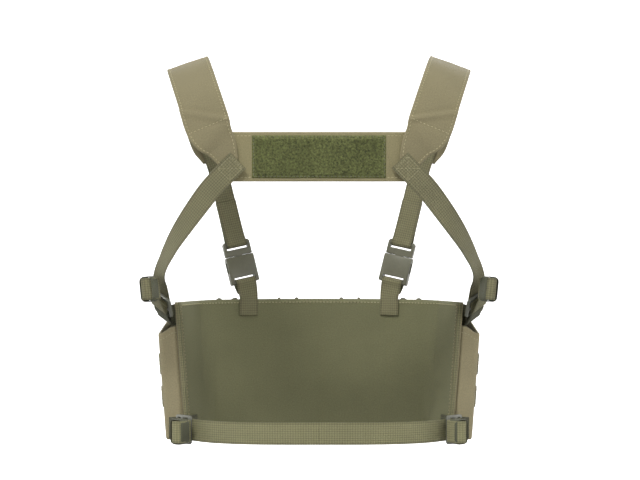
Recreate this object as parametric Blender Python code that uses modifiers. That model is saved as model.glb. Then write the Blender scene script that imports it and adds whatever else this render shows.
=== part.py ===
"""Load-carrying chest rig with a back-yoke harness, worn.

+X is the wearer's right, +Y the way the wearer faces and +Z up. The origin lies on the
torso's centreline, midway between chest and back, at the height of the armpits.
"""

import math

import bmesh
import bpy
import numpy as np
from mathutils import Matrix, Vector

SIDES = (("left", -1), ("right", 1))
GAP = 0.0003

# Webbing and cloth
WEB_WIDTH = 0.025
WEB_THICKNESS = 0.0014
FABRIC = 0.0016
STRAP_THICKNESS = 0.0032
STRAP_WIDTH = 0.050

# Back yoke
YOKE_Y = -0.115
YOKE_Z = 0.092
YOKE_HALF_WIDTH = 0.108
YOKE_HEIGHT = 0.055
YOKE_THICKNESS = 0.003
PATCH_WIDTH = 0.148
PATCH_HEIGHT = 0.047
PATCH_THICKNESS = 0.0024

# Front panel, a wrap of flat stretches: the turn from straight ahead and the length of each
PANEL_TOP = -0.072
PANEL_BOTTOM = -0.231
PANEL_MIDDLE = (PANEL_TOP + PANEL_BOTTOM) / 2
PANEL_FRONT_Y = 0.125
STRETCHES = ((8, 0.072), (30, 0.072), (72, 0.075))
SIDE_LEAN = 0.08
FOLD_HALF = 0.005
STIFFENER = 0.001
STIFFENER_INSET = 0.006
LAYER_GAP = 0.001
POUCH_OFFSET = 2 * FABRIC + STIFFENER + 3 * LAYER_GAP

# Pouches
MAG_WIDTH = 0.064
MAG_DEPTH = 0.027
MAG_BACK_TOP = -0.080
MAG_FRONT_TOP = -0.104
MAG_BOTTOM = -0.227
SIDE_WIDTH = 0.070
SIDE_DEPTH = 0.024
SIDE_BACK_TOP = -0.100
SIDE_FRONT_TOP = -0.078
SIDE_REAR_TOP = -0.107
POUCH_CORNER = 0.004
ROW_HEIGHTS = (("upper", -0.143), ("lower", -0.181))

# Bungee retainers
BUNGEE_RADIUS = 0.0016
BUNGEE_SPREAD = 0.011
TAB_WIDTH = 0.016
TAB_LENGTH = 0.034
TAB_THICKNESS = 0.002

# Ladder locks: places along the frame, from the anchor bar's axis
LOCK_WIDTH = 0.033
LOCK_WINDOW = 0.0266
LOCK_THICKNESS = 0.0036
ANCHOR_BAR = 0.0018
CROSS_BAR = (0.008, 0.012)
END_BAR = (0.021, 0.025)
LOOP_RADIUS = 0.0036
STRAP_UNDER = 0.0031
STRAP_FOOT = (0.044, 0.0355)
UPPER_BAR = Vector((0.182, 0.014, -0.0815))
UPPER_ALONG = Vector((0.08, -0.67, 0.74))
UPPER_OUT = Vector((0.735, -0.462, -0.498))
UPPER_SEAM = 0.0655
WAIST_SEAM = -0.0664
WAIST_BAR = Vector((0.163, -0.013, -0.2180))
WAIST_ALONG = Vector((-0.65, -0.76, 0))
WAIST_OUT = Vector((0.76, -0.65, 0))

# Folded strap tails and their elastic keepers
PACKET = Vector((0.0270, 0.026, 0.014))
WAIST_TAIL_TURN = ((0.0095, 0.0082, (0, 0.3, -1)), (0.0150, 0.0086, (0, 0, -1)))
KEEPER_WIDTH = 0.010
KEEPER_THICKNESS = 0.0008
KEEPER_SHIFT = 0.0055
TAIL_ENTRY = 0.009
UPPER_PACKET = Vector((0.1930, -0.0390, -0.0560))
UPPER_PACKET_ALONG = Vector((0.45, -0.89, 0))
UPPER_PACKET_ACROSS = Vector((0.1, 0.05, 0.99))
WAIST_PACKET_AT = (0.030, 0.0180)
WAIST_PACKET_ALONG = Vector((0.60, -0.80, 0))

# Front side-release buckles, measured up the strap from where its line leaves the panel
BUCKLE_FOOT = Vector((0.087, 0.109, -0.064))
BUCKLE_HEAD = Vector((0.125, 0.1175, 0.092))
BUCKLE_OUT = Vector((0.35, 0.93, 0))
FEMALE_WIDTH = 0.036
FEMALE_THICKNESS = 0.010
FEMALE_SPAN = (0.012, 0.046)
FEMALE_SLOT = (0.0152, 0.0202)
FEMALE_LOOP = (0.0041, 0.0070)
CAVITY = Vector((0.030, 0, 0.0064))
CAVITY_FLOOR = 0.022
SIDE_WINDOW = (0.027, 0.040)
MALE_SPAN = (0.0465, 0.0645)
MALE_SLOT = (0.0545, 0.0600)
MALE_LOOP = (0.0050, 0.0050)
MALE_WIDTH = 0.034
MALE_THICKNESS = 0.006
TONGUE_HALF = 0.004
TONGUE_TIP = 0.026
PRONG_X = 0.011
PRONG_HALF = 0.0022
PRONG_TIP = 0.024
PRONG_THICKNESS = 0.0046
BARB = 0.0012
SLIDE_TRAVEL = 0.028
FIXED_WEB_FOOT = MALE_SPAN[1] + SLIDE_TRAVEL + 0.002
LOOP_HEAD = FIXED_WEB_FOOT + 0.020


def clear_scene():
    for obj in list(bpy.data.objects):
        bpy.data.objects.remove(obj)


def new_collection(name):
    collection = bpy.data.collections.new(name)
    bpy.context.scene.collection.children.link(collection)
    return collection


def finish(name, color, roughness):
    material = bpy.data.materials.new(name)
    material.use_nodes = True
    shader = material.node_tree.nodes["Principled BSDF"]
    shader.inputs["Base Color"].default_value = (*color, 1)
    shader.inputs["Roughness"].default_value = roughness
    shader.inputs["Metallic"].default_value = 0
    return material


clear_scene()
PARTS = new_collection("chest_rig")
TOOLS = new_collection("tools")
WEBBING = finish("webbing", (0.21, 0.20, 0.11), 0.85)
CLOTH = finish("cloth", (0.27, 0.24, 0.14), 0.9)
LOOP_PILE = finish("loop_pile", (0.10, 0.11, 0.045), 1.0)
PLASTIC = finish("moulded_plastic", (0.13, 0.13, 0.09), 0.4)
ELASTIC = finish("elastic", (0.09, 0.09, 0.045), 0.8)
SHEET_PLASTIC = finish("stiffener_plastic", (0.03, 0.03, 0.03), 0.5)


def mirrored(vector, side):
    return Vector((vector.x * side, vector.y, vector.z))


def frame_at(origin, along, out):
    """The place whose local Y runs along, whose local Z faces out, and whose X is square to both."""
    y_axis = along.normalized()
    z_axis = (out - y_axis * out.dot(y_axis)).normalized()
    x_axis = y_axis.cross(z_axis)
    place = Matrix((x_axis, y_axis, z_axis)).transposed().to_4x4()
    place.translation = origin
    return place


def add_object(name, mesh, material, place=Matrix.Identity(4)):
    obj = bpy.data.objects.new(name, mesh)
    obj.matrix_world = place
    obj.data.materials.append(material)
    PARTS.objects.link(obj)
    return obj


def mesh_of(name, bm):
    mesh = bpy.data.meshes.new(name)
    bm.to_mesh(mesh)
    bm.free()
    return mesh


def add_thickness(obj, thickness, offset=0, even=True):
    modifier = obj.modifiers.new("thickness", "SOLIDIFY")
    modifier.thickness = thickness
    modifier.offset = offset
    modifier.use_even_offset = even


def add_rounding(obj, width, segments=2):
    modifier = obj.modifiers.new("rounding", "BEVEL")
    modifier.width = width
    modifier.segments = segments


def keep_as_tool(obj):
    """Takes an object out of the parts, to cut or join another with it."""
    for collection in list(obj.users_collection):
        collection.objects.unlink(obj)
    TOOLS.objects.link(obj)
    obj.hide_render = True
    obj.display_type = "WIRE"


def join(obj, tool, operation="UNION"):
    modifier = obj.modifiers.new(tool.name, "BOOLEAN")
    modifier.operation = operation
    modifier.solver = "EXACT"
    modifier.object = tool


def add_slab(name, size, material, place, rounding=0, segments=2):
    bm = bmesh.new()
    bmesh.ops.create_cube(bm, size=1)
    bmesh.ops.scale(bm, vec=size, verts=bm.verts)
    obj = add_object(name, mesh_of(name, bm), material, place)
    if rounding:
        add_rounding(obj, rounding, segments)
    return obj


def cut(obj, name, size, place):
    """Takes a box of this size out of an object."""
    tool = add_slab(name, size, PLASTIC, place)
    keep_as_tool(tool)
    join(obj, tool, "DIFFERENCE")


# --- Webbing and straps ---------------------------------------------------------------


def smooth_rows(rows, count):
    """The rows read at even steps along the smooth curve through them."""
    rows = np.array(rows, float)
    padded = np.vstack([2 * rows[0] - rows[1], rows, 2 * rows[-1] - rows[-2]])
    read = []
    for step in np.linspace(0, len(rows) - 1, count):
        first = min(int(step), len(rows) - 2)
        part = step - first
        a, b, c, d = padded[first : first + 4]
        bend = (2 * a - 5 * b + 4 * c - d) * part**2 + (3 * b - a - 3 * c + d) * part**3
        read.append(0.5 * (2 * b + (c - a) * part + bend))
    return np.array(read)


def station(point, normal, width=WEB_WIDTH):
    return (*point, *normal, width)


def ribbon(name, stations, thickness, material, count=14, across=1):
    """A flat strap through stations of a centre, an outward direction and a width."""
    rows = smooth_rows(stations, count)
    centres = rows[:, :3]
    tangents = np.gradient(centres, axis=0)
    sides = np.cross(tangents, rows[:, 3:6])
    sides /= np.linalg.norm(sides, axis=1)[:, None]
    bm = bmesh.new()
    bmesh.ops.create_grid(bm, x_segments=across, y_segments=count - 1, size=1)
    for vertex in bm.verts:
        row = round((vertex.co.y + 1) / 2 * (count - 1))
        vertex.co = centres[row] + sides[row] * vertex.co.x * rows[row, 6] / 2
    obj = add_object(name, mesh_of(name, bm), material)
    add_thickness(obj, thickness)
    return obj


def side_stations(side, rows):
    """Stations given for the wearer's right, mirrored for the left, from rows of point, normal and width."""
    return [
        station(mirrored(Vector(point), side), mirrored(Vector(normal), side), width)
        for point, normal, width in rows
    ]


def add_shoulder_strap(name, side):
    rows = (
        ((0.099, -0.1184, 0.084), (0.0, -1, 0), 0.022),
        ((0.108, -0.1184, 0.103), (0.0, -1, 0), 0.036),
        ((0.121, -0.1180, 0.122), (0.05, -1, 0.1), STRAP_WIDTH),
        ((0.134, -0.1010, 0.160), (0.2, -0.85, 0.5), STRAP_WIDTH),
        ((0.146, -0.0620, 0.192), (0.3, -0.45, 0.85), STRAP_WIDTH),
        ((0.152, -0.0050, 0.203), (0.33, 0, 0.94), STRAP_WIDTH),
        ((0.149, 0.0500, 0.188), (0.3, 0.5, 0.8), STRAP_WIDTH),
        ((0.141, 0.0900, 0.152), (0.22, 0.85, 0.45), STRAP_WIDTH),
        ((0.132, 0.1110, 0.116), (0.2, 0.97, 0.2), 0.046),
        ((0.127, 0.1165, 0.097), (0.2, 0.97, 0.05), 0.030),
    )
    ribbon(f"shoulder_strap_{name}", side_stations(side, rows), STRAP_THICKNESS, CLOTH, 26, 2)


def add_side_strap(name, side, lock):
    rows = (
        ((0.0892, -0.1216, 0.0875), (0.0, -1, 0), WEB_WIDTH),
        ((0.1062, -0.1212, 0.0703), (0.0, -1, 0), WEB_WIDTH),
        ((0.1232, -0.1150, 0.0520), (0.15, -1, 0), WEB_WIDTH),
        ((0.1490, -0.1000, 0.018), (0.55, -0.83, 0), WEB_WIDTH),
        ((0.1660, -0.0750, -0.006), (0.8, -0.6, 0), WEB_WIDTH),
        ((0.1790, -0.0420, -0.029), (0.93, -0.35, -0.1), WEB_WIDTH),
    )
    stations = [*side_stations(side, rows), *strap_foot(lock)]
    ribbon(f"side_strap_{name}", stations, WEB_THICKNESS, WEBBING, 25)


def strap_foot(lock):
    """The last two stations of a strap, in line with the lock that it runs into."""
    return [local_station(lock, along, -STRAP_UNDER) for along in STRAP_FOOT]


def add_waist_strap(locks):
    """One strap round the back, from one waist lock to the other."""
    half = (
        ((0.0, -0.0900, -0.2165), (0, -1, 0), WEB_WIDTH),
        ((0.045, -0.0880, -0.2167), (0.08, -1, 0), WEB_WIDTH),
        ((0.085, -0.0780, -0.2172), (0.35, -0.93, 0), WEB_WIDTH),
        ((0.115, -0.0610, -0.2177), (0.58, -0.8, 0), WEB_WIDTH),
    )
    stations = []
    for name, side in SIDES:
        arm = [*side_stations(side, half), *strap_foot(locks[name])]
        stations = arm[::-1] if side < 0 else [*stations, *arm[1:]]
    ribbon("waist_strap", stations, WEB_THICKNESS, WEBBING, 33)


# --- Back yoke ------------------------------------------------------------------------


def add_yoke():
    size = Vector((2 * YOKE_HALF_WIDTH, YOKE_THICKNESS, YOKE_HEIGHT))
    add_slab("back_yoke", size, CLOTH, Matrix.Translation((0, YOKE_Y, YOKE_Z)), 0.001)
    patch_y = YOKE_Y - YOKE_THICKNESS / 2 - GAP - PATCH_THICKNESS / 2
    size = Vector((PATCH_WIDTH, PATCH_THICKNESS, PATCH_HEIGHT))
    add_slab("yoke_loop_patch", size, LOOP_PILE, Matrix.Translation((0, patch_y, YOKE_Z)), 0.0006)


# --- Front panel and pouches ----------------------------------------------------------


def stretch_frames(side):
    """Each flat stretch of the panel as its near corner, and its directions along, up and out."""
    corner = Vector((0, PANEL_FRONT_Y, PANEL_MIDDLE))
    frames = []
    for number, (degrees, length) in enumerate(STRETCHES):
        turn = math.radians(degrees)
        along = Vector((side * math.cos(turn), -math.sin(turn), 0))
        out = Vector((side * math.sin(turn), math.cos(turn), 0))
        up = Vector((0, 0, 1))
        if number == len(STRETCHES) - 1:
            up = (up + out * SIDE_LEAN).normalized()
            out = (out - up * out.dot(up)).normalized()
        frames.append((corner, along, up, out, length))
        corner = corner + along * length
    return frames


FRAMES = {name: stretch_frames(side) for name, side in SIDES}


def panel_point(side, number, reach, height, offset):
    """A place on the panel: how far along one stretch, how high above its middle, how far out."""
    corner, along, up, out, _ = FRAMES["left" if side < 0 else "right"][number]
    return corner + along * reach + up * height + out * offset


def panel_columns(inset):
    """The panel's upright lines from the left rear edge to the right one."""
    half = []
    for number, (_, length) in enumerate(STRETCHES):
        last = number == len(STRETCHES) - 1
        half.append((number, FOLD_HALF if number else 0))
        half.append((number, length - (inset if last else FOLD_HALF)))
    right = [(1, number, reach) for number, reach in half]
    left = [(-1, number, reach) for number, reach in half[1:]]
    return [*reversed(left), *right]


def add_panel_layer(name, inner, thickness, material, inset=0):
    columns = panel_columns(inset)
    half_height = (PANEL_TOP - PANEL_BOTTOM) / 2 - inset
    middle = inner + thickness / 2
    bm = bmesh.new()
    bmesh.ops.create_grid(bm, x_segments=len(columns) - 1, y_segments=1, size=1)
    for vertex in bm.verts:
        side, number, reach = columns[round((vertex.co.x + 1) / 2 * (len(columns) - 1))]
        vertex.co = panel_point(side, number, reach, vertex.co.y * half_height, middle)
    obj = add_object(name, mesh_of(name, bm), material)
    add_thickness(obj, thickness, even=False)


def add_panel():
    add_panel_layer("panel_back", 0, FABRIC, CLOTH)
    inner = FABRIC + LAYER_GAP
    add_panel_layer("stiffener_sheet", inner, STIFFENER, SHEET_PLASTIC, STIFFENER_INSET)
    add_panel_layer("panel_front", inner + STIFFENER + LAYER_GAP, FABRIC, CLOTH)


def pouch_place(side, number):
    """The frame of a pouch on one stretch: X across, Y up, Z out, at the stretch's middle."""
    corner, along, up, out, length = FRAMES["left" if side < 0 else "right"][number]
    return frame_at(corner + along * length / 2 + out * POUCH_OFFSET, up, out)


def add_pouch(name, place, width, depth, bottom, top_at):
    """An open-topped shell. top_at gives the rim's height over a corner's across and out places."""
    bm = bmesh.new()
    bmesh.ops.create_cube(bm, size=1)
    bmesh.ops.delete(bm, geom=[f for f in bm.faces if f.normal.y > 0.5], context="FACES_ONLY")
    for vertex in bm.verts:
        across = vertex.co.x * width
        out = (vertex.co.z + 0.5) * depth
        high = top_at(across, out) if vertex.co.y > 0 else bottom
        vertex.co = Vector((across, high - PANEL_MIDDLE, out))
    closed = [edge for edge in bm.edges if not edge.is_boundary]
    bmesh.ops.bevel(bm, geom=closed, offset=POUCH_CORNER, segments=2, affect="EDGES", profile=0.5)
    obj = add_object(name, mesh_of(name, bm), CLOTH, place)
    add_thickness(obj, FABRIC, -1)


def mag_rim(across, out):
    return MAG_FRONT_TOP if out > MAG_DEPTH / 2 else MAG_BACK_TOP


def add_mag_pouch(name, side, number):
    place = pouch_place(side, number)
    add_pouch(f"mag_pouch_{name}", place, MAG_WIDTH, MAG_DEPTH, MAG_BOTTOM, mag_rim)
    add_retainer(name, place)


def add_retainer(name, place):
    """A bungee loop over the pouch's mouth, and the pull tab that hangs from it on the front."""
    back = Vector((0, MAG_BACK_TOP - PANEL_MIDDLE, 0.006))
    hinge = tab_hinge()
    over = (
        (BUNGEE_SPREAD, back.y + 0.0035, back.z - 0.002),
        (BUNGEE_SPREAD, back.y + 0.008, back.z + 0.004),
        (BUNGEE_SPREAD * 0.9, back.y + 0.004, MAG_DEPTH - 0.006),
        (BUNGEE_SPREAD * 0.7, hinge.y + 0.012, MAG_DEPTH + 0.0035),
        (BUNGEE_SPREAD * 0.4, hinge.y + 0.003, hinge.z),
    )
    arm = [(*row,) for row in smooth_rows(over, 9)]
    points = [*arm, *[(-x, y, z) for x, y, z in reversed(arm)]]
    curve = bpy.data.curves.new(f"bungee_{name}", "CURVE")
    curve.dimensions = "3D"
    curve.bevel_depth = BUNGEE_RADIUS
    curve.bevel_resolution = 2
    curve.use_fill_caps = True
    spline = curve.splines.new("POLY")
    spline.points.add(len(points) - 1)
    for point, place_of in zip(spline.points, points):
        point.co = (*place_of, 1)
    add_object(f"bungee_{name}", curve, ELASTIC, place)
    drop = Vector((0, -0.004 - TAB_LENGTH / 2, 0))
    size = Vector((TAB_WIDTH, TAB_LENGTH, TAB_THICKNESS))
    pivot = place @ Matrix.Translation(hinge)
    tab = add_slab(f"pull_tab_{name}", size, WEBBING, pivot, 0.0005)
    tab.data.transform(Matrix.Translation(drop))


def tab_hinge():
    """The pull tab's pivot in a magazine pouch's frame."""
    return Vector((0, MAG_FRONT_TOP - PANEL_MIDDLE - 0.004, MAG_DEPTH + 0.0028))


def add_side_pouch(name, side):
    place = pouch_place(side, len(STRETCHES) - 1)

    def rim(across, out):
        if out < SIDE_DEPTH / 2:
            return SIDE_BACK_TOP
        return SIDE_REAR_TOP if across * side < 0 else SIDE_FRONT_TOP

    add_pouch(f"side_pouch_{name}", place, SIDE_WIDTH, SIDE_DEPTH, PANEL_BOTTOM, rim)
    for row_name, height in ROW_HEIGHTS:
        add_row(f"side_row_{row_name}_{name}", place, height - PANEL_MIDDLE)


def add_row(name, place, height):
    """A row of webbing across the side pouch's outer face, standing proud between its tacks."""
    half = SIDE_WIDTH / 2 - POUCH_CORNER
    base = SIDE_DEPTH + GAP + WEB_THICKNESS / 2
    stations = [
        station(
            place @ Vector((half * part, height, base + 0.0022 * abs(math.sin(math.pi * part)))),
            place.to_3x3() @ Vector((0, 0, 1)),
        )
        for part in np.linspace(-1, 1, 9)
    ]
    ribbon(name, stations, WEB_THICKNESS, WEBBING, 17)


# --- Ladder locks, their anchors and the folded strap tails ---------------------------


def add_outline(name, outlines, thickness, material, place):
    """A flat plate: its outline first, then its windows, as lists of corners."""
    curve = bpy.data.curves.new(name, "CURVE")
    curve.dimensions = "2D"
    curve.fill_mode = "BOTH"
    curve.extrude = thickness / 2
    for corners in outlines:
        spline = curve.splines.new("POLY")
        spline.points.add(len(corners) - 1)
        spline.use_cyclic_u = True
        for point, corner in zip(spline.points, corners):
            point.co = (*corner, 0, 1)
    return add_object(name, curve, material, place)


def rectangle(half_width, low, high, cut=0):
    """Corners of a rectangle, each cut off by this much."""
    if not cut:
        return [(-half_width, low), (half_width, low), (half_width, high), (-half_width, high)]
    return [
        (-half_width + cut, low),
        (half_width - cut, low),
        (half_width, low + cut),
        (half_width, high - cut),
        (half_width - cut, high),
        (-half_width + cut, high),
        (-half_width, high - cut),
        (-half_width, low + cut),
    ]


def add_lock(name, place):
    outlines = [
        rectangle(LOCK_WIDTH / 2, -ANCHOR_BAR, END_BAR[1], 0.0015),
        rectangle(LOCK_WINDOW / 2, ANCHOR_BAR, CROSS_BAR[0]),
        rectangle(LOCK_WINDOW / 2, CROSS_BAR[1], END_BAR[0]),
    ]
    add_outline(name, outlines, LOCK_THICKNESS, PLASTIC, place)


def local_station(place, along, out, toward=(0, 0, 1), across=0):
    """A station in the YZ plane of a place, facing the given way there."""
    point = place @ Vector((across, along, out))
    return station(point, place.to_3x3() @ Vector(toward))


def add_anchor(name, place, sewn):
    """Webbing sewn to the panel, out to the lock, round its anchor bar and back on itself."""
    merge, near, half_gap = -0.013, -0.004, WEB_THICKNESS / 2
    under = [
        local_station(place, merge, -half_gap, (0, 0, -1)),
        local_station(place, near, GAP - LOOP_RADIUS, (0, 0, -1)),
    ]
    turns = bar_turns(place, 0, (LOOP_RADIUS, LOOP_RADIUS), range(-90, 91, 30))
    over = [
        local_station(place, near, LOOP_RADIUS - GAP),
        local_station(place, merge, half_gap),
        local_station(place, merge - 0.003, half_gap),
    ]
    ribbon(name, [*sewn, *under, *turns, *over], WEB_THICKNESS - GAP, WEBBING, 46)


def bar_turns(place, along, radii, swings):
    """Stations round a bar that lies across the place, at these angles."""
    turns = []
    for degrees in swings:
        swing = math.radians(degrees)
        spot = (math.cos(swing), math.sin(swing))
        point = (along + radii[0] * spot[0], radii[1] * spot[1])
        turns.append(local_station(place, *point, (0, *spot)))
    return turns


def packet_place(centre, along, across, side):
    """The frame of a folded tail, given for the wearer's right: Y along its length, X across."""
    along, across = mirrored(along, side), mirrored(across, side)
    return frame_at(centre, along, across.cross(along) * side)


def add_tail(name, place, packet, after=()):
    """The strap's end: under the end bar, up through the window, over the cross bar and folded up.

    The folds are one slab, with an elastic keeper round it.
    """
    entry = place.inverted() @ (packet @ Vector((0, -TAIL_ENTRY, 0)))
    route = (
        (0.0330, -0.0031, (0, 0, 1)),
        (0.0240, -0.0031, (0, 0, 1)),
        (0.0195, -0.0026, (0, 0.3, 1)),
        (0.0165, 0.0000, (0, 1, 0.7)),
        (0.0135, 0.0026, (0, 0.3, 1)),
        (0.0090, 0.0036, (0, 0, 1)),
        (0.0075, 0.0060, (0, 1, 0)),
        *after,
    )
    stations = [local_station(place, along, out, facing) for along, out, facing in route]
    rise, run = entry.z - route[-1][1], entry.y - route[-1][0]
    stations.append(local_station(place, entry.y, entry.z, (0, rise, -run)))
    tail = ribbon(f"{name}_strap_tail", stations, WEB_THICKNESS - GAP, WEBBING, 25)
    folds = add_slab(f"{name}_folds", PACKET, WEBBING, packet, 0.0025)
    keep_as_tool(folds)
    join(tail, folds)
    bm = bmesh.new()
    bmesh.ops.create_cube(bm, size=1)
    bmesh.ops.delete(bm, geom=[f for f in bm.faces if abs(f.normal.y) > 0.5], context="FACES_ONLY")
    size = Vector((PACKET.x + 2 * GAP, KEEPER_WIDTH, PACKET.z + 2 * GAP))
    bmesh.ops.scale(bm, vec=size, verts=bm.verts)
    offset = Matrix.Translation((0, KEEPER_SHIFT, 0))
    keeper = add_object(f"{name}_keeper", mesh_of(f"{name}_keeper", bm), ELASTIC, packet @ offset)
    add_thickness(keeper, KEEPER_THICKNESS, 1)


def add_upper_lock(name, side):
    place = frame_at(
        mirrored(UPPER_BAR, side), mirrored(UPPER_ALONG, side), mirrored(UPPER_OUT, side)
    )
    add_lock(f"upper_lock_{name}", place)
    centre = mirrored(UPPER_PACKET, side)
    packet = packet_place(centre, UPPER_PACKET_ALONG, UPPER_PACKET_ACROSS, side)
    add_tail(f"upper_{name}", place, packet)
    last = len(STRETCHES) - 1
    out = FRAMES[name][last][3]
    outer = POUCH_OFFSET + WEB_THICKNESS / 2
    sewn = [
        station(panel_point(side, last, reach, UPPER_SEAM, outer + lift), -out)
        for reach, lift in ((0.024, 0), (0.040, 0), (0.050, 0.006))
    ]
    add_anchor(f"upper_anchor_{name}", place, sewn)
    return place


def add_waist_lock(name, side):
    place = frame_at(
        mirrored(WAIST_BAR, side), mirrored(WAIST_ALONG, side), mirrored(WAIST_OUT, side)
    )
    add_lock(f"waist_lock_{name}", place)
    centre = place @ Vector((0, *WAIST_PACKET_AT))
    packet = packet_place(centre, WAIST_PACKET_ALONG, Vector((0, 0, 1)), side)
    add_tail(f"waist_{name}", place, packet, WAIST_TAIL_TURN)
    last = len(STRETCHES) - 1
    out = FRAMES[name][last][3]
    sewn = [
        station(panel_point(side, last, reach, WAIST_SEAM, -lift), -out)
        for reach, lift in ((0.050, 0.0012), (0.066, 0.0012), (0.080, 0.0005))
    ]
    add_anchor(f"waist_anchor_{name}", place, sewn)
    return place


# --- Front buckles --------------------------------------------------------------------


def buckle_place(side):
    along = mirrored(BUCKLE_HEAD - BUCKLE_FOOT, side)
    return frame_at(mirrored(BUCKLE_FOOT, side), along, mirrored(BUCKLE_OUT, side))


def add_female(name, place):
    low, high = FEMALE_SPAN
    size = Vector((FEMALE_WIDTH, high - low, FEMALE_THICKNESS))
    centre = place @ Matrix.Translation((0, (low + high) / 2, 0))
    female = add_slab(f"buckle_female_{name}", size, PLASTIC, centre, 0.0015)
    past = 0.004
    slot_low, slot_high = FEMALE_SLOT
    window_low, window_high = SIDE_WINDOW
    cutters = (
        (
            "slot",
            Vector((LOCK_WINDOW, slot_high - slot_low, 2 * FEMALE_THICKNESS)),
            (slot_low + slot_high) / 2,
        ),
        (
            "cavity",
            Vector((CAVITY.x, high - CAVITY_FLOOR + past, CAVITY.z)),
            (high + CAVITY_FLOOR + past) / 2,
        ),
        (
            "window",
            Vector((2 * FEMALE_WIDTH, window_high - window_low, CAVITY.z - 0.001)),
            (window_low + window_high) / 2,
        ),
    )
    for kind, box, along in cutters:
        cut(female, f"{kind}_{name}", box, place @ Matrix.Translation((0, along, 0)))


def add_male(name, place):
    low, high = MALE_SPAN
    half = MALE_WIDTH / 2
    outline = [
        (-half, low),
        (-TONGUE_HALF, low),
        (-TONGUE_HALF, TONGUE_TIP),
        (TONGUE_HALF, TONGUE_TIP),
        (TONGUE_HALF, low),
        (half, low),
        (half, high - 0.002),
        (half - 0.002, high),
        (-half + 0.002, high),
        (-half, high - 0.002),
    ]
    slot = rectangle(LOCK_WINDOW / 2, *MALE_SLOT)
    add_outline(f"buckle_male_{name}", [outline, slot], MALE_THICKNESS, PLASTIC, place)
    for prong_name, way in (("inner", -1), ("outer", 1)):
        root = MALE_SPAN[0] - GAP
        tip = PRONG_TIP - root
        outline = [
            (-PRONG_HALF, 0),
            (-PRONG_HALF, tip + 0.002),
            (-PRONG_HALF + 0.001, tip),
            (PRONG_HALF - 0.001, tip),
            (PRONG_HALF + BARB, tip + 0.005),
            (PRONG_HALF + BARB, tip + 0.008),
            (PRONG_HALF, tip + 0.009),
            (PRONG_HALF, 0),
        ]
        turned = [(x * way * side_of(place), y) for x, y in outline]
        pivot = place @ Matrix.Translation((PRONG_X * way * side_of(place), root, 0))
        add_outline(f"prong_{prong_name}_{name}", [turned], PRONG_THICKNESS, PLASTIC, pivot)


def side_of(place):
    """1 where local X points to the wearer's outer side, and -1 where it points inwards."""
    outwards = place.to_3x3() @ Vector((1, 0, 0))
    return 1 if outwards.x * place.translation.x > 0 else -1


def add_buckle_webs(name, side, place):
    """The loop that holds the female half, the loop on the male half, and the strap it slides on."""
    female_bar = (FEMALE_SPAN[0] + FEMALE_SLOT[0]) / 2
    out = FRAMES[name][1][3]
    sewn = [
        station(panel_point(side, 1, 0.017, height, -0.0012), -out)
        for height in (0.060, 0.072, 0.083)
    ]
    under = local_station(place, 0.007, -0.0045, (0, 0.3, -1))
    turns = bar_turns(place, female_bar, FEMALE_LOOP, range(-90, 91, 30))
    over = [local_station(place, 0.007, 0.0045), local_station(place, 0.001, 0.0005)]
    stations = [*sewn, under, *turns, *over]
    ribbon(f"buckle_anchor_{name}", stations, WEB_THICKNESS, WEBBING, 48)

    layer = WEB_THICKNESS + GAP
    male_bar = (MALE_SLOT[1] + MALE_SPAN[1]) / 2
    back = [
        local_station(place, LOOP_HEAD, -layer, (0, 0, -1)),
        local_station(place, FIXED_WEB_FOOT - 0.004, -layer, (0, 0, -1)),
        local_station(place, male_bar + 0.008, -layer - 0.0012, (0, 0, -1)),
    ]
    turns = bar_turns(place, male_bar, MALE_LOOP, range(270, 89, -30))
    front = [
        local_station(place, male_bar + 0.008, layer + 0.0012),
        local_station(place, FIXED_WEB_FOOT - 0.004, layer),
        local_station(place, LOOP_HEAD, layer),
    ]
    ribbon(f"male_web_{name}", [*back, *turns, *front], WEB_THICKNESS, WEBBING, 40)

    head = (BUCKLE_HEAD - BUCKLE_FOOT).length
    steps = np.linspace(FIXED_WEB_FOOT, head, 4)
    stations = [local_station(place, along, 0) for along in steps]
    ribbon(f"shoulder_web_{name}", stations, WEB_THICKNESS, WEBBING, 4)


def main():
    add_yoke()
    add_panel()
    locks = {}
    for name, side in SIDES:
        add_shoulder_strap(name, side)
        add_side_strap(name, side, add_upper_lock(name, side))
        locks[name] = add_waist_lock(name, side)
        add_mag_pouch(f"inner_{name}", side, 0)
        add_mag_pouch(f"outer_{name}", side, 1)
        add_side_pouch(name, side)
        place = buckle_place(side)
        add_female(name, place)
        add_male(name, place)
        add_buckle_webs(name, side, place)
    add_waist_strap(locks)


main()
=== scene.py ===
"""The looks of a load-carrying chest rig with a back-yoke harness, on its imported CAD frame.

+X is the wearer's right, +Y the way the wearer faces and +Z up, in metres.
"""

import math

import bmesh
import bpy
import numpy as np
from mathutils import Matrix, Vector


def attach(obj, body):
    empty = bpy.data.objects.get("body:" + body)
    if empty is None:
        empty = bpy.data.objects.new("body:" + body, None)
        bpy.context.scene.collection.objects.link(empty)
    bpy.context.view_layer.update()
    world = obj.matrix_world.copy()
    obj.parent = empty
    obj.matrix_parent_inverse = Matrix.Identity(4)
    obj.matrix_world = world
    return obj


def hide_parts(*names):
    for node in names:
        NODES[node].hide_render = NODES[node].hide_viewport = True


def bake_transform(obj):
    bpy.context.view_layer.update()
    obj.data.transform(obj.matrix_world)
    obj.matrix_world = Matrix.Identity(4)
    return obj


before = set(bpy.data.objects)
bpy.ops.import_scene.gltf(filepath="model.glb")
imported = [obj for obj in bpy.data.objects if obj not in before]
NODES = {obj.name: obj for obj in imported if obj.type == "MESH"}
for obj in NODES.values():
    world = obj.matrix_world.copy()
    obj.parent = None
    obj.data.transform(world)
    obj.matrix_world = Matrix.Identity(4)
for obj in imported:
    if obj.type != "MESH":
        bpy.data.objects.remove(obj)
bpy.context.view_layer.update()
SCENE = bpy.context.scene
SIDES = (("left", -1), ("right", 1))
UP = Vector((0, 0, 1))

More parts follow.
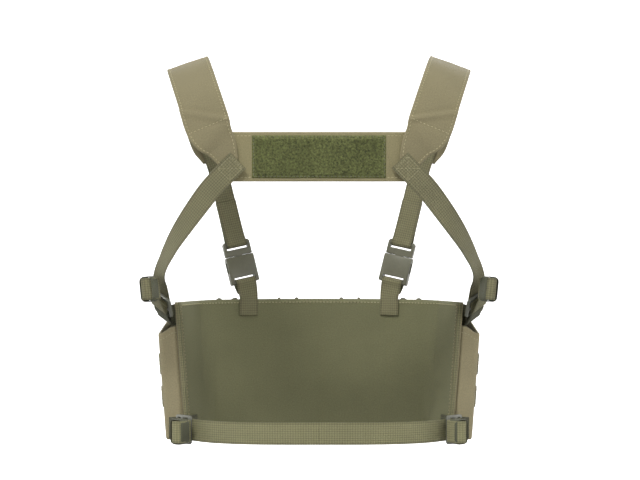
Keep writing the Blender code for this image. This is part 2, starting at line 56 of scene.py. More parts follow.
# Webbing and cloth
WEB = 0.025
WEB_THICK = 0.0014
THROUGH_THICK = 0.0012
ANCHOR_THICK = 0.0011
FRONT_WEB_THICK = 0.0013
STRAP_THICK = 0.0032

# Back yoke
YOKE_Y = -0.115
YOKE_Z = 0.092
YOKE_HALF = 0.108
YOKE_HIGH = 0.055
YOKE_THICK = 0.003
YOKE_INSET = 0.0045
PATCH_WIDE = 0.148
PATCH_HIGH = 0.047
PATCH_FACE = -0.1188

# Front panel and pouches
PANEL_TOP = -0.072
PANEL_LOW = -0.231
PANEL_MIDDLE = (PANEL_TOP + PANEL_LOW) / 2
PANEL_Y = 0.125
STRETCHES = ((8, 0.072), (30, 0.072), (72, 0.075))
SIDE_LEAN = 0.08
POUCH_OFFSET = 0.0072
MAG_WIDE = 0.064
MAG_DEEP = 0.027
MAG_RIM = (-0.080, -0.104)
MAG_LOW = -0.227
SIDE_WIDE = 0.070
SIDE_DEEP = 0.024
SIDE_RIM = (-0.100, -0.078, -0.107)
ROW_HEIGHTS = (("upper", -0.143), ("lower", -0.181))

# Ladder locks: places along the frame, from the anchor bar's axis
LOOP_RADIUS = 0.0036
STRAP_UNDER = 0.0031
STRAP_FOOT = (0.044, 0.0355)
UPPER_BAR = Vector((0.182, 0.014, -0.0815))
UPPER_ALONG = Vector((0.08, -0.67, 0.74))
UPPER_OUT = Vector((0.735, -0.462, -0.498))
WAIST_BAR = Vector((0.163, -0.013, -0.218))
WAIST_ALONG = Vector((-0.65, -0.76, 0))
WAIST_OUT = Vector((0.76, -0.65, 0))
PACKET = Vector((0.0270, 0.026, 0.014))
UPPER_PACKET = Vector((0.1930, -0.0390, -0.0560))
UPPER_PACKET_ALONG = Vector((0.45, -0.89, 0))
UPPER_PACKET_ACROSS = Vector((0.1, 0.05, 0.99))
WAIST_PACKET_AT = (0.030, 0.0180)
WAIST_PACKET_ALONG = Vector((0.60, -0.80, 0))

# The strap's way through a lock, as places along and out with the way each faces
TAIL_ROUTE = (
    (0.0330, -0.0031, (0, 0, 1)),
    (0.0240, -0.0031, (0, 0, 1)),
    (0.0195, -0.0026, (0, 0.3, 1)),
    (0.0165, 0.0000, (0, 1, 0.7)),
    (0.0135, 0.0026, (0, 0.3, 1)),
    (0.0090, 0.0036, (0, 0, 1)),
    (0.0075, 0.0060, (0, 1, 0)),
)
WAIST_TURN = ((0.0095, 0.0082, (0, 0.3, -1)), (0.0150, 0.0086, (0, 0, -1)))
TAIL_ENTRY = 0.009

# Front buckles, measured up the strap from where its line leaves the panel
BUCKLE_FOOT = Vector((0.087, 0.109, -0.064))
BUCKLE_HEAD = Vector((0.125, 0.1175, 0.092))
BUCKLE_OUT = Vector((0.35, 0.93, 0))
FIXED_WEB_FOOT = 0.0945
LOOP_HEAD = 0.1145


# --- Camera, stage and lights ---


SWEEP_SIDES = 48


def add_camera():
    camera = bpy.data.objects.new("camera", bpy.data.cameras.new("camera"))
    SCENE.collection.objects.link(camera)
    camera.location = (0, -2.315, 0)
    camera.rotation_euler = (math.radians(90), 0, 0)
    camera.data.sensor_width = 36
    camera.data.lens = 112
    camera.data.shift_x = 0.0016
    SCENE.camera = camera


def add_light(name, place, size, power):
    """A soft rectangular lamp that faces the rig."""
    light = bpy.data.lights.new(name, "AREA")
    light.shape = "RECTANGLE"
    light.size, light.size_y = size
    light.energy = power
    lamp = bpy.data.objects.new(name, light)
    lamp.location = place
    lamp.rotation_euler = (-Vector(place)).to_track_quat("-Z", "Y").to_euler()
    SCENE.collection.objects.link(lamp)


def add_stage():
    """A pale sweep: a floor that curves up into a wall on every side."""
    profile = ((2.2, -0.62), (3.0, -0.56), (3.4, -0.36), (3.6, 0.1), (3.6, 4.0))
    turns = np.linspace(0, 2 * math.pi, SWEEP_SIDES, endpoint=False)
    points = [(r * math.cos(turn), r * math.sin(turn), z) for r, z in profile for turn in turns]
    f = Finish("pale_sweep", 0.9)
    f.put(f.shader.inputs["Base Color"], (0.75, 0.75, 0.75, 1))
    f.put(f.shader.inputs["Emission Color"], (1, 1, 1, 1))
    _, y, _ = f.parts(f.coordinates("Object"))
    limits = {"Value": y, "From Min": -2.0, "From Max": 1.5, "To Min": 0.05, "To Max": 0.85}
    glow = f.node("MapRange", limits)
    f.put(f.shader.inputs["Emission Strength"], glow.outputs["Result"])
    uvs = [point[:2] for point in points]
    faces = loft(len(profile), SWEEP_SIDES, first=1)
    make_piece("sweep", points, faces, uvs, f.material)


def add_lights():
    world = bpy.data.worlds.new("studio")
    world.use_nodes = True
    background = world.node_tree.nodes["Background"].inputs
    background["Color"].default_value = (1, 1, 1, 1)
    background["Strength"].default_value = 0.22
    SCENE.world = world
    add_light("key", (-0.7, -1.6, 2.2), (0.8, 0.6), 58)
    add_light("fill", (1.7, -1.6, 0.5), (0.9, 1.3), 8)
    add_light("front", (0.5, 2.2, 1.5), (1.3, 1.0), 22)
    SCENE.view_settings.view_transform = "Standard"


# --- Materials ---


class Finish:
    """A node material, with short ways to add its nodes."""

    def __init__(self, name, roughness, sheen=0, coat=0):
        self.material = bpy.data.materials.new(name)
        self.material.use_nodes = True
        self.tree = self.material.node_tree
        self.shader = self.tree.nodes["Principled BSDF"]
        self.put(self.shader.inputs["Roughness"], roughness)
        self.put(self.shader.inputs["Sheen Weight"], sheen)
        self.put(self.shader.inputs["Sheen Roughness"], 0.5)
        self.put(self.shader.inputs["Coat Weight"], coat)

    def put(self, socket, value):
        if isinstance(value, bpy.types.NodeSocket):
            self.tree.links.new(value, socket)
        else:
            socket.default_value = value

    def node(self, kind, sockets, **settings):
        made = self.tree.nodes.new("ShaderNode" + kind)
        for key, value in settings.items():
            setattr(made, key, value)
        for key, value in sockets.items():
            self.put(made.inputs[key], value)
        return made

    def math(self, operation, a, b=0.0):
        return self.node("Math", {0: a, 1: b}, operation=operation).outputs[0]

    def times(self, first, *others):
        for other in others:
            first = self.math("MULTIPLY", first, other)
        return first

    def wave(self, value, pitch):
        """Rounded ribs from 0 to 1, this far apart along a value."""
        turns = self.times(value, math.pi / pitch)
        return self.math("ABSOLUTE", self.math("SINE", turns))

    def coordinates(self, kind="UV"):
        return self.node("TexCoord", {}).outputs[kind]

    def parts(self, vector):
        return self.node("SeparateXYZ", {0: vector}).outputs[:]

    def noise(self, vector, scale, detail=2, rough=0.5):
        sockets = {"Vector": vector, "Scale": scale, "Detail": detail, "Roughness": rough}
        return self.node("TexNoise", sockets).outputs["Fac"]

    def edge(self):
        """How near an edge of the cloth a point is, from 0 to 1."""
        return self.node("Attribute", {}, attribute_name="edge").outputs["Fac"]

    def spread(self, value, low, high):
        """The value from 0 to 1 turned into a range."""
        return self.math("ADD", self.times(value, high - low), low)

    def tone(self, *ranges):
        """The product of values from 0 to 1, each turned into its own range."""
        return self.times(*[self.spread(*given) for given in ranges])

    def mix(self, factor, first, second):
        sockets = {0: factor, 6: (*first, 1), 7: (*second, 1)}
        return self.node("Mix", sockets, data_type="RGBA").outputs[2]

    def bump(self, height, distance, strength=1.0, base=None):
        sockets = {"Height": height, "Distance": distance, "Strength": strength}
        if base is not None:
            sockets["Normal"] = base
        return self.node("Bump", sockets).outputs["Normal"]

    def close(self, color, tone, normal, roughness=None):
        """The finished material: a colour times a tone, a normal, and a roughness if it varies."""
        shaded = self.node("VectorMath", {0: color, "Scale": tone}, operation="SCALE")
        self.put(self.shader.inputs["Base Color"], shaded.outputs[0])
        self.put(self.shader.inputs["Normal"], normal)
        if roughness is not None:
            self.put(self.shader.inputs["Roughness"], roughness)
        return self.material


def woven(f, vector, across, along):
    """The height of a plain weave whose yarns lie this far apart, from 0 in the gaps to 1."""
    u, v, _ = f.parts(vector)
    column = f.times(u, 1 / across)
    shifted = f.times(f.math("FLOOR", column), 0.5)
    row = f.math("ADD", f.times(v, 1 / along), shifted)
    return f.times(f.wave(row, 1), f.math("POWER", f.wave(column, 1), 0.5))


def webbing_finish(name, color):
    """Tight nylon webbing: cross ribs split into yarns, bundled in rows, with painted shade in the
    grooves and along the edges.
    """
    f = Finish(name, 0.8, sheen=0.05)
    uv, place = f.coordinates(), f.coordinates("Object")
    height = woven(f, uv, 0.0013, 0.0009)
    patches, fuzz = f.noise(place, 22, 3), f.noise(place, 900, 2)
    u, v, _ = f.parts(uv)
    bundles, ridges = f.wave(u, 0.0026), f.wave(v, 0.0029)
    # Painted shade: the tone darkens the gaps between yarns and the grooves between bundles and
    # ridges.
    tone = f.tone(
        (height, 0.50, 1.28),
        (patches, 0.86, 1.14),
        (fuzz, 0.86, 1.14),
        (bundles, 0.76, 1.14),
        (ridges, 0.80, 1.12),
    )
    # Painted shade: the colour darkens to 45 % along the webbing's edges, where a shadow line
    # falls.
    shaded = tuple(0.45 * part for part in color)
    base = f.mix(f.times(f.edge(), f.spread(patches, 0.3, 0.9)), color, shaded)
    coarse = f.math("ADD", f.times(bundles, 0.5), f.times(ridges, 0.5))
    normal = f.bump(height, 0.0010, 1.0, f.bump(coarse, 0.0008, 0.6))
    return f.close(base, tone, f.bump(fuzz, 0.0003, 0.5, normal))


def cloth_finish(name, color):
    """Coated pack cloth: a plain weave of round yarns, slubs, soft creases and worn edges."""
    f = Finish(name, 0.78, sheen=0.04)
    uv, place = f.coordinates(), f.coordinates("Object")
    height = woven(f, uv, 0.0010, 0.0010)
    slubs, patches, creases = f.noise(uv, 620, 3), f.noise(place, 16, 4), f.noise(place, 60, 3)
    tone = f.tone((height, 0.68, 1.16), (patches, 0.86, 1.14), (slubs, 0.72, 1.28))
    worn = tuple(min(1, 1.18 * part + 0.012) for part in color)
    base = f.mix(f.times(f.edge(), f.spread(patches, 0.1, 0.8)), color, worn)
    normal = f.bump(creases, 0.0016, 0.35, f.bump(height, 0.0004, 0.6))
    return f.close(base, tone, normal, f.spread(slubs, 0.68, 0.88))


def pile_finish(name, color):
    """Loop pile: clumps of looped hair in deep green, with painted highlights on the raised hair
    and painted shade between the clumps.
    """
    f = Finish(name, 0.95, sheen=0.08)
    place = f.coordinates("Object")
    clumps, lie, hair = f.noise(place, 420, 3, 0.75), f.noise(place, 45, 3), f.noise(place, 1500)
    # Painted highlight: the colour lightens where the fine hair noise, which also raises the bump,
    # is high.
    painted_tip_highlight = tuple(2.2 * part for part in color)
    base = f.mix(f.spread(hair, -0.3, 1.0), color, painted_tip_highlight)
    normal = f.bump(hair, 0.0004, 0.6, f.bump(clumps, 0.0012, 0.8))
    # Painted shade: the tone falls towards black where the clumps sink.
    return f.close(base, f.tone((clumps, -0.9, 3.1), (lie, 0.8, 1.2)), normal)


def plastic_finish(name, color, roughness):
    """Moulded acetal: a fine sparked texture, faint flow marks and scuffs."""
    f = Finish(name, roughness, coat=0.1)
    place = f.coordinates("Object")
    grain, flow = f.noise(place, 2400), f.noise(place, 55, 3)
    scuffs = f.noise(place, 240, 4, 0.8)
    tone = f.tone((flow, 0.86, 1.14), (scuffs, 0.85, 1.15))
    finish = f.spread(scuffs, roughness - 0.08, roughness + 0.14)
    return f.close(color, tone, f.bump(grain, 0.00015, 0.35), finish)


def elastic_finish(name, color):
    """Woven elastic: rubber cores that stand up as lengthwise ribs, and short cross picks."""
    f = Finish(name, 0.7, sheen=0.1)
    u, v, _ = f.parts(f.coordinates())
    ribs, picks = f.wave(u, 0.0012), f.wave(v, 0.0008)
    height = f.math("ADD", f.times(ribs, 0.8), f.times(picks, 0.2))
    patches = f.noise(f.coordinates("Object"), 40, 3)
    tone = f.tone((height, 0.6, 1.15), (patches, 0.85, 1.15))
    return f.close(color, tone, f.bump(height, 0.0005, 0.7))


def braid_finish(name, color):
    """Braided sheath of a bungee: crossing diagonal yarns."""
    f = Finish(name, 0.7, sheen=0.15)
    u, v, _ = f.parts(f.coordinates())
    one, two = [
        f.math("SINE", f.times(f.math(way, u, v), 2 * math.pi / 0.0022))
        for way in ("ADD", "SUBTRACT")
    ]
    height = f.math("MAXIMUM", one, two)
    patches = f.noise(f.coordinates("Object"), 60, 3)
    tone = f.tone((height, 0.8, 1.2), (patches, 0.85, 1.15))
    return f.close(color, tone, f.bump(height, 0.0004, 0.7))


def thread_finish(name, color):
    """Bonded sewing thread: a slight twist and a soft shine."""
    f = Finish(name, 0.55, sheen=0.1)
    place = f.coordinates("Object")
    twist, patches = f.noise(place, 1800, 1), f.noise(place, 70, 2)
    tone = f.tone((twist, 0.75, 1.2), (patches, 0.85, 1.15))
    return f.close(color, tone, f.bump(twist, 0.0002, 0.5))


WEBBING = webbing_finish("olive_webbing", (0.325, 0.303, 0.158))
WAIST_WEBBING = webbing_finish("waist_webbing", (0.430, 0.410, 0.210))
# The anchor loops' webbing is much darker than the other webbing: painted shade.
ANCHOR_WEBBING_PAINTED_SHADE = webbing_finish("anchor_webbing_painted_shade", (0.135, 0.135, 0.068))
CLOTH = cloth_finish("pack_cloth", (0.228, 0.198, 0.106))
POUCH_CLOTH = cloth_finish("pouch_cloth", (0.315, 0.272, 0.155))
YOKE_CLOTH = cloth_finish("yoke_cloth", (0.268, 0.236, 0.120))
PANEL_CLOTH = cloth_finish("panel_cloth", (0.170, 0.168, 0.082))
PILE = pile_finish("loop_pile_green", (0.072, 0.080, 0.026))
PLASTIC = plastic_finish("lock_plastic", (0.150, 0.152, 0.120), 0.30)
SHEET_PLASTIC = plastic_finish("stiffener_black", (0.030, 0.030, 0.030), 0.5)
ELASTIC = elastic_finish("keeper_elastic", (0.075, 0.078, 0.040))
BRAID = braid_finish("bungee_braid", (0.095, 0.095, 0.050))
# The thread's own olive, made paler than the cloth as a painted highlight on the stitches.
THREAD = thread_finish("olive_thread_painted_highlight", (0.420, 0.380, 0.215))
PATCH_THREAD = thread_finish("patch_thread", (0.150, 0.150, 0.085))
HEM_CLOTH = webbing_finish("hem_tape", (0.360, 0.320, 0.185))
BUCKLE_PLASTIC = plastic_finish("buckle_plastic", (0.110, 0.108, 0.070), 0.38)


# --- Geometry helpers ---


def mirrored(vector, side):
    return Vector((vector[0] * side, vector[1], vector[2]))


def frame_at(origin, along, out):
    """The place whose local Y runs along, whose Z faces out, and whose X is square to both."""
    y_axis = along.normalized()
    z_axis = (out - y_axis * out.dot(y_axis)).normalized()
    x_axis = y_axis.cross(z_axis)
    place = Matrix((x_axis, y_axis, z_axis)).transposed().to_4x4()
    place.translation = origin
    return place


def smooth_rows(rows, count):
    """The rows read at even steps along the smooth curve through them."""
    rows = np.array(rows, float)
    padded = np.vstack([2 * rows[0] - rows[1], rows, 2 * rows[-1] - rows[-2]])
    read = []
    for step in np.linspace(0, len(rows) - 1, count):
        first = min(int(step), len(rows) - 2)
        part = step - first
        a, b, c, d = padded[first : first + 4]
        bend = (2 * a - 5 * b + 4 * c - d) * part**2 + (3 * b - a - 3 * c + d) * part**3
        read.append(0.5 * (2 * b + (c - a) * part + bend))
    return np.array(read)


def ripple(a, b, seed):
    """A smooth, repeatable unevenness from -1 to 1 over two lengths in metres."""
    total = 0
    for k, wave in enumerate((0.061, 0.034, 0.019, 0.011)):
        turn = seed * 1.7 + k * 2.3
        total += wave / 0.061 * math.sin(
            2 * math.pi * (a * math.cos(turn) + b * math.sin(turn)) / wave + seed * 3.1 + k
        )
    return total / 2.1


def hump(distance, half):
    """1 at 0, falling smoothly to 0 at this distance."""
    part = min(1, abs(distance) / half)
    return (1 - part * part) ** 2


def make_piece(name, points, faces, uvs, material, edges=None):
    """A mesh piece from points, faces, UVs in metres, and how near an edge each point is."""
    mesh = bpy.data.meshes.new(name)
    mesh.from_pydata([tuple(p) for p in points], [], faces)
    layer = mesh.uv_layers.new(name="UVMap")
    index = np.zeros(len(mesh.loops), int)
    mesh.loops.foreach_get("vertex_index", index)
    layer.data.foreach_set("uv", np.array(uvs, np.float32)[index].ravel())
    if edges is not None:
        attribute = mesh.attributes.new("edge", "FLOAT", "POINT")
        attribute.data.foreach_set("value", np.array(edges, np.float32))
    mesh.materials.append(material)
    mesh.validate()
    mesh.shade_smooth()
    piece = bpy.data.objects.new(name, mesh)
    SCENE.collection.objects.link(piece)
    return piece


def loft(rings, size, start=0, first=0, last=0, wrap=0):
    """Faces between rings of points. An end is closed by 1 or -1, the way round its ring."""
    faces = []
    for k in range(rings - 1 + wrap):
        a, b = start + k * size, start + (k + 1) % rings * size
        for j in range(size):
            after = (j + 1) % size
            faces.append((a + j, a + after, b + after, b + j))
    for way, base in ((first, start), (last, start + (rings - 1) * size)):
        if way:
            faces.append(tuple(base + j for j in range(size)[::way]))
    return faces


def sheet_faces(columns, rows):
    """Faces of a grid of points that runs row by row."""
    return [
        (a, a + 1, a + 1 + columns, a + columns)
        for k in range(rows - 1)
        for a in range(k * columns, k * columns + columns - 1)
    ]


def read_at(reach, reached, table):
    """A row of the table, read this far along."""
    return np.array([np.interp(reach, reached, column) for column in table.T])


class Strip:
    """A band of cloth or webbing along stations of a centre, an outward direction and a width."""

    def __init__(self, stations, step=0.0022):
        rough = smooth_rows(stations, 200)
        length = np.linalg.norm(np.diff(rough[:, :3], axis=0), axis=1)
        self.length = float(length.sum())
        count = max(4, round(self.length / step))
        reached = np.concatenate([[0], np.cumsum(length)])
        wanted = np.linspace(0, self.length, count)
        rows = np.array([np.interp(wanted, reached, rough[:, k]) for k in range(7)]).T
        self.reach = wanted
        self.centres = rows[:, :3]
        tangents = np.gradient(self.centres, axis=0)
        tangents /= np.linalg.norm(tangents, axis=1)[:, None]
        sides = np.cross(tangents, rows[:, 3:6])
        self.sides = sides / np.linalg.norm(sides, axis=1)[:, None]
        self.outs = np.cross(self.sides, tangents)
        self.widths = rows[:, 6]

    def read(self, table, along):
        return read_at(along, self.reach, table)

    def at(self, across, along, lift):
        """A point this far across from the middle, along and outwards, all in metres."""
        centre = self.read(self.centres, along)
        side, out = self.read(self.sides, along), self.read(self.outs, along)
        return Vector(centre + side * across + out * lift)

    def facing(self, along):
        return Vector(self.read(self.outs, along)).normalized()

    def width(self, along):
        return float(np.interp(along, self.reach, self.widths))


def flat_lift(across, along):
    return 0


def build_strip(name, strip, thickness, material, columns=10, lift=flat_lift):
    """The band as a closed mesh with rounded edges. lift moves its surface outwards."""
    end = strip.length
    rows = [0, *[along for along in strip.reach if 0.0005 < along < end - 0.0005], end]
    bend = (0, 0.18, 0.5, 1)
    points, uvs, edges = [], [], []
    for along in rows:
        half = strip.width(along) / 2
        rounding = min(thickness / 2, half * 0.3)
        inner = half - rounding
        spots = [-half + rounding * part for part in bend[:-1]]
        spots += list(np.linspace(-inner, inner, columns))
        spots += [half - rounding * part for part in reversed(bend[:-1])]
        top, under = [], []
        for across in spots:
            over = max(0, abs(across) - inner) / rounding
            thick = thickness / 2 * math.sqrt(max(0, 1 - over * over))
            rise = lift(across, along)
            near = hump(half - abs(across), 0.0022)
            top.append((across, rise + thick, near))
            under.append((across, rise - thick, near))
        loop = [*top, *reversed(under[1:-1])]
        for across, rise, near in loop:
            points.append(strip.at(across, along, rise))
            uvs.append((across, along))
            edges.append(near)
    faces = loft(len(rows), len(loop), first=1, last=-1)
    piece = make_piece(name, points, faces, uvs, material, edges)
    tidy_normals(piece)
    return piece


def tidy_normals(piece):
    bm = bmesh.new()
    bm.from_mesh(piece.data)
    bmesh.ops.recalc_face_normals(bm, faces=bm.faces)
    bm.to_mesh(piece.data)
    bm.free()


def station(point, normal, width=WEB):
    return (*point, *normal, width)


def side_stations(side, rows):
    return [
        station(mirrored(point, side), mirrored(normal, side), width)
        for point, normal, width in rows
    ]


def local_station(place, along, out, toward=(0, 0, 1), width=WEB):
    point = place @ Vector((0, along, out))
    return station(point, place.to_3x3() @ Vector(toward), width)


def bar_turns(place, along, radii, swings):
    """Stations round a bar that lies across the place, at these angles."""
    turns = []
    for degrees in swings:
        swing = math.radians(degrees)
        spot = (math.cos(swing), math.sin(swing))
        point = (along + radii[0] * spot[0], radii[1] * spot[1])
        turns.append(local_station(place, *point, (0, *spot)))
    return turns


STITCH = 0.0026
STITCH_GAP = 0.0016
THREAD_RADIUS = 0.00036
STITCH_SHAPE = ((0, -0.9), (0.2, 0.55), (0.5, 0.75), (0.8, 0.55), (1, -0.9))


def sew(name, seams, material=THREAD):
    """Stitches along seams. A seam is a list of points on the cloth and the way it faces."""
    points, faces, uvs = [], [], []
    for seam in seams:
        spots = np.array([p for p, _ in seam], float)
        facings = np.array([n for _, n in seam], float)
        steps = np.linalg.norm(np.diff(spots, axis=0), axis=1)
        reached = np.concatenate([[0], np.cumsum(steps)])
        count = max(1, int(reached[-1] / (STITCH + STITCH_GAP)))
        gap = reached[-1] / count
        for k in range(count):
            start = k * gap + (gap - STITCH) / 2
            foot = read_at(start, reached, spots)
            way = read_at(start + STITCH, reached, spots) - foot
            size = np.linalg.norm(way)
            if size < 1e-6:
                continue
            way /= size
            out = read_at(start + STITCH / 2, reached, facings)
            out -= way * out.dot(way)
            out /= np.linalg.norm(out)
            side = np.cross(way, out)
            faces += loft(len(STITCH_SHAPE), 6, len(points), first=-1, last=1)
            for part, up in STITCH_SHAPE:
                middle = foot + way * size * part + out * up * THREAD_RADIUS
                for turn in range(6):
                    angle = math.pi * turn / 3
                    around = side * math.cos(angle) + out * math.sin(angle)
                    points.append(middle + around * THREAD_RADIUS)
                    uvs.append((turn * THREAD_RADIUS, part * STITCH))
    return make_piece(name, points, faces, uvs, material)


def strip_seam(strip, path, lift):
    """A seam on a band, through places across and along; lift is the face's height there."""
    seam = []
    for (a0, s0), (a1, s1) in zip(path, path[1:]):
        count = max(2, round(math.hypot(a1 - a0, s1 - s0) / 0.0022))
        for part in np.linspace(0, 1, count):
            across, along = a0 + (a1 - a0) * part, s0 + (s1 - s0) * part
            rise = lift(across, along) if callable(lift) else lift
            seam.append((strip.at(across, along, rise), strip.facing(along)))
    return seam


def box_seams(strip, low, high, half, lift):
    """A box stitch with its cross, on the outer face."""
    box = [(-half, low), (half, low), (half, high), (-half, high), (-half, low)]
    return [
        strip_seam(strip, box, lift),
        strip_seam(strip, [(-half, low), (half, high)], lift),
        strip_seam(strip, [(half, low), (-half, high)], lift),
    ]


def keep_on(piece, body, *nodes, slot=None):
    """The piece rides on a body and stands for these CAD nodes."""
    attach(piece, body)
    if nodes:
        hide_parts(*nodes)


def add_web(name, strip, thickness, body, *nodes, columns=10, lift=flat_lift, material=WEBBING):
    """A band of webbing that rides on a body."""
    piece = build_strip(name, strip, thickness, material, columns, lift)
    keep_on(piece, body, *nodes, slot="webbing")
    return piece


def sewn_to(piece, cloth):
    """Thread that goes with the cloth it is sewn in."""
    piece.parent = cloth
    piece.matrix_parent_inverse = Matrix.Identity(4)


# --- Back yoke and its loop patch ---


def yoke_lift(across, along):
    """How the folded band rises and dips: turned edges, seam grooves, and puckers by the ends."""
    edge = min(YOKE_HIGH / 2 - abs(across), along, 2 * YOKE_HALF - along)
    groove = -0.00035 * hump(edge - YOKE_INSET, 0.0022)
    turned = 0.0003 * hump(edge - 0.0015, 0.003)
    near_end = hump(min(along, 2 * YOKE_HALF - along) - 0.02, 0.05)
    pucker = 0.0006 * near_end * ripple(across * 0.6, along * 1.6, 2)
    return groove + turned + pucker + 0.00025 * ripple(across, along, 5)


def add_yoke():
    stations = [
        station((x, YOKE_Y, YOKE_Z), (0, -1, 0), YOKE_HIGH)
        for x in (YOKE_HALF, YOKE_HALF / 2, 0, -YOKE_HALF / 2, -YOKE_HALF)
    ]
    strip = Strip(stations, 0.0030)
    yoke = build_strip("yoke_band", strip, YOKE_THICK, YOKE_CLOTH, 20, yoke_lift)
    keep_on(yoke, "root", "back_yoke", slot="cloth")

    def face(across, along):
        return yoke_lift(across, along) + YOKE_THICK / 2

    near, far = 0.012, 2 * YOKE_HALF - 0.012
    half = YOKE_HIGH / 2 - YOKE_INSET
    seams = [strip_seam(strip, [(row, near), (row, far)], face) for row in (half, -half)]
    sewn_to(sew("yoke_seams", seams), yoke)


PATCH_STEP = 0.0008
LOOP_COUNT = 9000


def add_patch():
    """The loop patch: a backing with sewn margins and a field of looped pile."""
    wide, high = PATCH_WIDE / 2, PATCH_HIGH / 2
    columns, rows = round(PATCH_WIDE / PATCH_STEP), round(PATCH_HIGH / PATCH_STEP)
    points, uvs, edges = [], [], []
    generator = np.random.default_rng(7)
    for j in range(rows + 1):
        for i in range(columns + 1):
            x, z = -wide + PATCH_WIDE * i / columns, -high + PATCH_HIGH * j / rows
            margin = min(wide - abs(x), high - abs(z))
            rough = 0.00035 * generator.random() + 0.00025 * ripple(x, z, 9)
            pile = min(1, max(0, (margin - 0.0026) / 0.0012))
            rise = 0.0011 * min(1, margin / 0.0008) + (0.0009 + rough) * pile
            points.append((x, PATCH_FACE + 0.0024 - rise, YOKE_Z + z))
            uvs.append((x, z))
            edges.append(1 - min(1, margin / 0.003))
    faces = sheet_faces(columns + 1, rows + 1)
    base = make_piece("patch_pile", points, faces, uvs, PILE, edges)
    keep_on(base, "root", "yoke_loop_patch", slot="loop_pile")
    add_loops(base, wide - 0.0034, high - 0.0034, generator)
    inset = 0.0018
    corners = [(-1, -1), (1, -1), (1, 1), (-1, 1), (-1, -1)]
    seam = [
        (Vector((x * (wide - inset), PATCH_FACE + 0.0012, YOKE_Z + z * (high - inset))), (0, -1, 0))
        for x, z in corners
    ]
    sewn_to(sew("patch_seam", [seam], PATCH_THREAD), base)


def add_loops(base, wide, high, generator):
    """Single loops of hair that stand out of the pile's field."""
    points, faces, uvs = [], [], []
    for _ in range(LOOP_COUNT):
        x, z = generator.uniform(-wide, wide), generator.uniform(-high, high)
        turn = generator.uniform(0, math.pi)
        lean = generator.uniform(-0.0005, 0.0005)
        tall, span = generator.uniform(0.0004, 0.0011), generator.uniform(0.0005, 0.0012)
        way = Vector((math.cos(turn), 0, math.sin(turn)))
        across = Vector((-math.sin(turn), 0, math.cos(turn))) * 0.00009
        foot = Vector((x, PATCH_FACE + 0.0006, YOKE_Z + z))
        start = len(points)
        for part in (-1, -0.5, 0, 0.5, 1):
            rise = tall * (1 - part * part) + 0.0003
            spot = foot + way * span * part / 2 + Vector((lean * (1 - part * part), -rise, 0))
            points += [spot - across, spot + across]
            uvs += [(x, z), (x, z)]
        for k in range(4):
            a = start + 2 * k
            faces.append((a, a + 1, a + 3, a + 2))
    sewn_to(make_piece("patch_loops", points, faces, uvs, PILE), base)


# --- Shoulder straps ---


SHOULDER_ROWS = (
    ((0.099, -0.1184, 0.084), (0.0, -1, 0), 0.022),
    ((0.108, -0.1184, 0.103), (0.0, -1, 0), 0.036),
    ((0.121, -0.1180, 0.122), (0.05, -1, 0.1), 0.050),
    ((0.134, -0.1010, 0.160), (0.2, -0.85, 0.5), 0.050),
    ((0.146, -0.0620, 0.192), (0.3, -0.45, 0.85), 0.050),
    ((0.152, -0.0050, 0.203), (0.33, 0, 0.94), 0.050),
    ((0.149, 0.0500, 0.188), (0.3, 0.5, 0.8), 0.050),
    ((0.141, 0.0900, 0.152), (0.22, 0.85, 0.45), 0.050),
    ((0.132, 0.1110, 0.116), (0.2, 0.97, 0.2), 0.046),
    ((0.127, 0.1165, 0.097), (0.2, 0.97, 0.05), 0.030),
)
STRAP_INSET = 0.0034


def add_shoulder_strap(name, side):
    strip = Strip(side_stations(side, SHOULDER_ROWS), 0.0026)
    crossing = 0.048

    def lift(across, along):
        half = strip.width(along) / 2
        edge = half - abs(across)
        groove = -0.0004 * hump(edge - STRAP_INSET, 0.0020)
        turned = 0.00035 * hump(edge - 0.0012, 0.0026)
        crown = 0.0006 * (1 - (across / half) ** 2)
        past = along - (crossing + 0.012 + side * across * 0.55)
        pleat = 0.0020 * hump(past, 0.007) - 0.0011 * hump(past - 0.006, 0.004)
        line = -0.0004 * hump(along - crossing, 0.002)
        outer = 0.5 + 0.5 * side * across / half
        creases = 0.0011 * outer * hump(along - 0.075, 0.05) * ripple(across, along * 1.4, 6)
        return groove + turned + crown + pleat + line + creases + 0.0004 * ripple(across, along, 3)

    piece = build_strip(f"shoulder_strap_cloth_{name}", strip, STRAP_THICK, CLOTH, 18, lift)
    keep_on(piece, "root", f"shoulder_strap_{name}", slot="cloth")

    def face(across, along):
        return lift(across, along) + STRAP_THICK / 2

    seams = []
    for way in (-1, 1):
        seam = []
        for along in np.arange(0.004, strip.length - 0.004, 0.003):
            across = way * (strip.width(along) / 2 - STRAP_INSET)
            seam.append((strip.at(across, along, face(across, along)), strip.facing(along)))
        seams.append(seam)
    for along in (crossing, strip.length - 0.018):
        half = strip.width(along) / 2 - STRAP_INSET
        seams.append(strip_seam(strip, [(-half, along), (half, along)], face))
    sewn_to(sew(f"shoulder_seams_{name}", seams), piece)


# --- Side straps and the waist strap ---


SIDE_ROWS = (
    ((0.0892, -0.1216, 0.0875), (0.0, -1, 0), WEB),
    ((0.1062, -0.1212, 0.0703), (0.0, -1, 0), WEB),
    ((0.1232, -0.1150, 0.0520), (0.15, -1, 0), WEB),
    ((0.1490, -0.1000, 0.018), (0.55, -0.83, 0), WEB),
    ((0.1660, -0.0750, -0.006), (0.8, -0.6, 0), WEB),
    ((0.1790, -0.0420, -0.029), (0.93, -0.35, -0.1), WEB),
)
WAIST_ROWS = (
    ((0.0, -0.0900, -0.2165), (0, -1, 0), WEB),
    ((0.045, -0.0880, -0.2167), (0.08, -1, 0), WEB),
    ((0.085, -0.0780, -0.2172), (0.35, -0.93, 0), WEB),
    ((0.115, -0.0610, -0.2177), (0.58, -0.8, 0), WEB),
)
BLEND_REACH = 0.050
SIDE_BOX_HALF = 0.0095


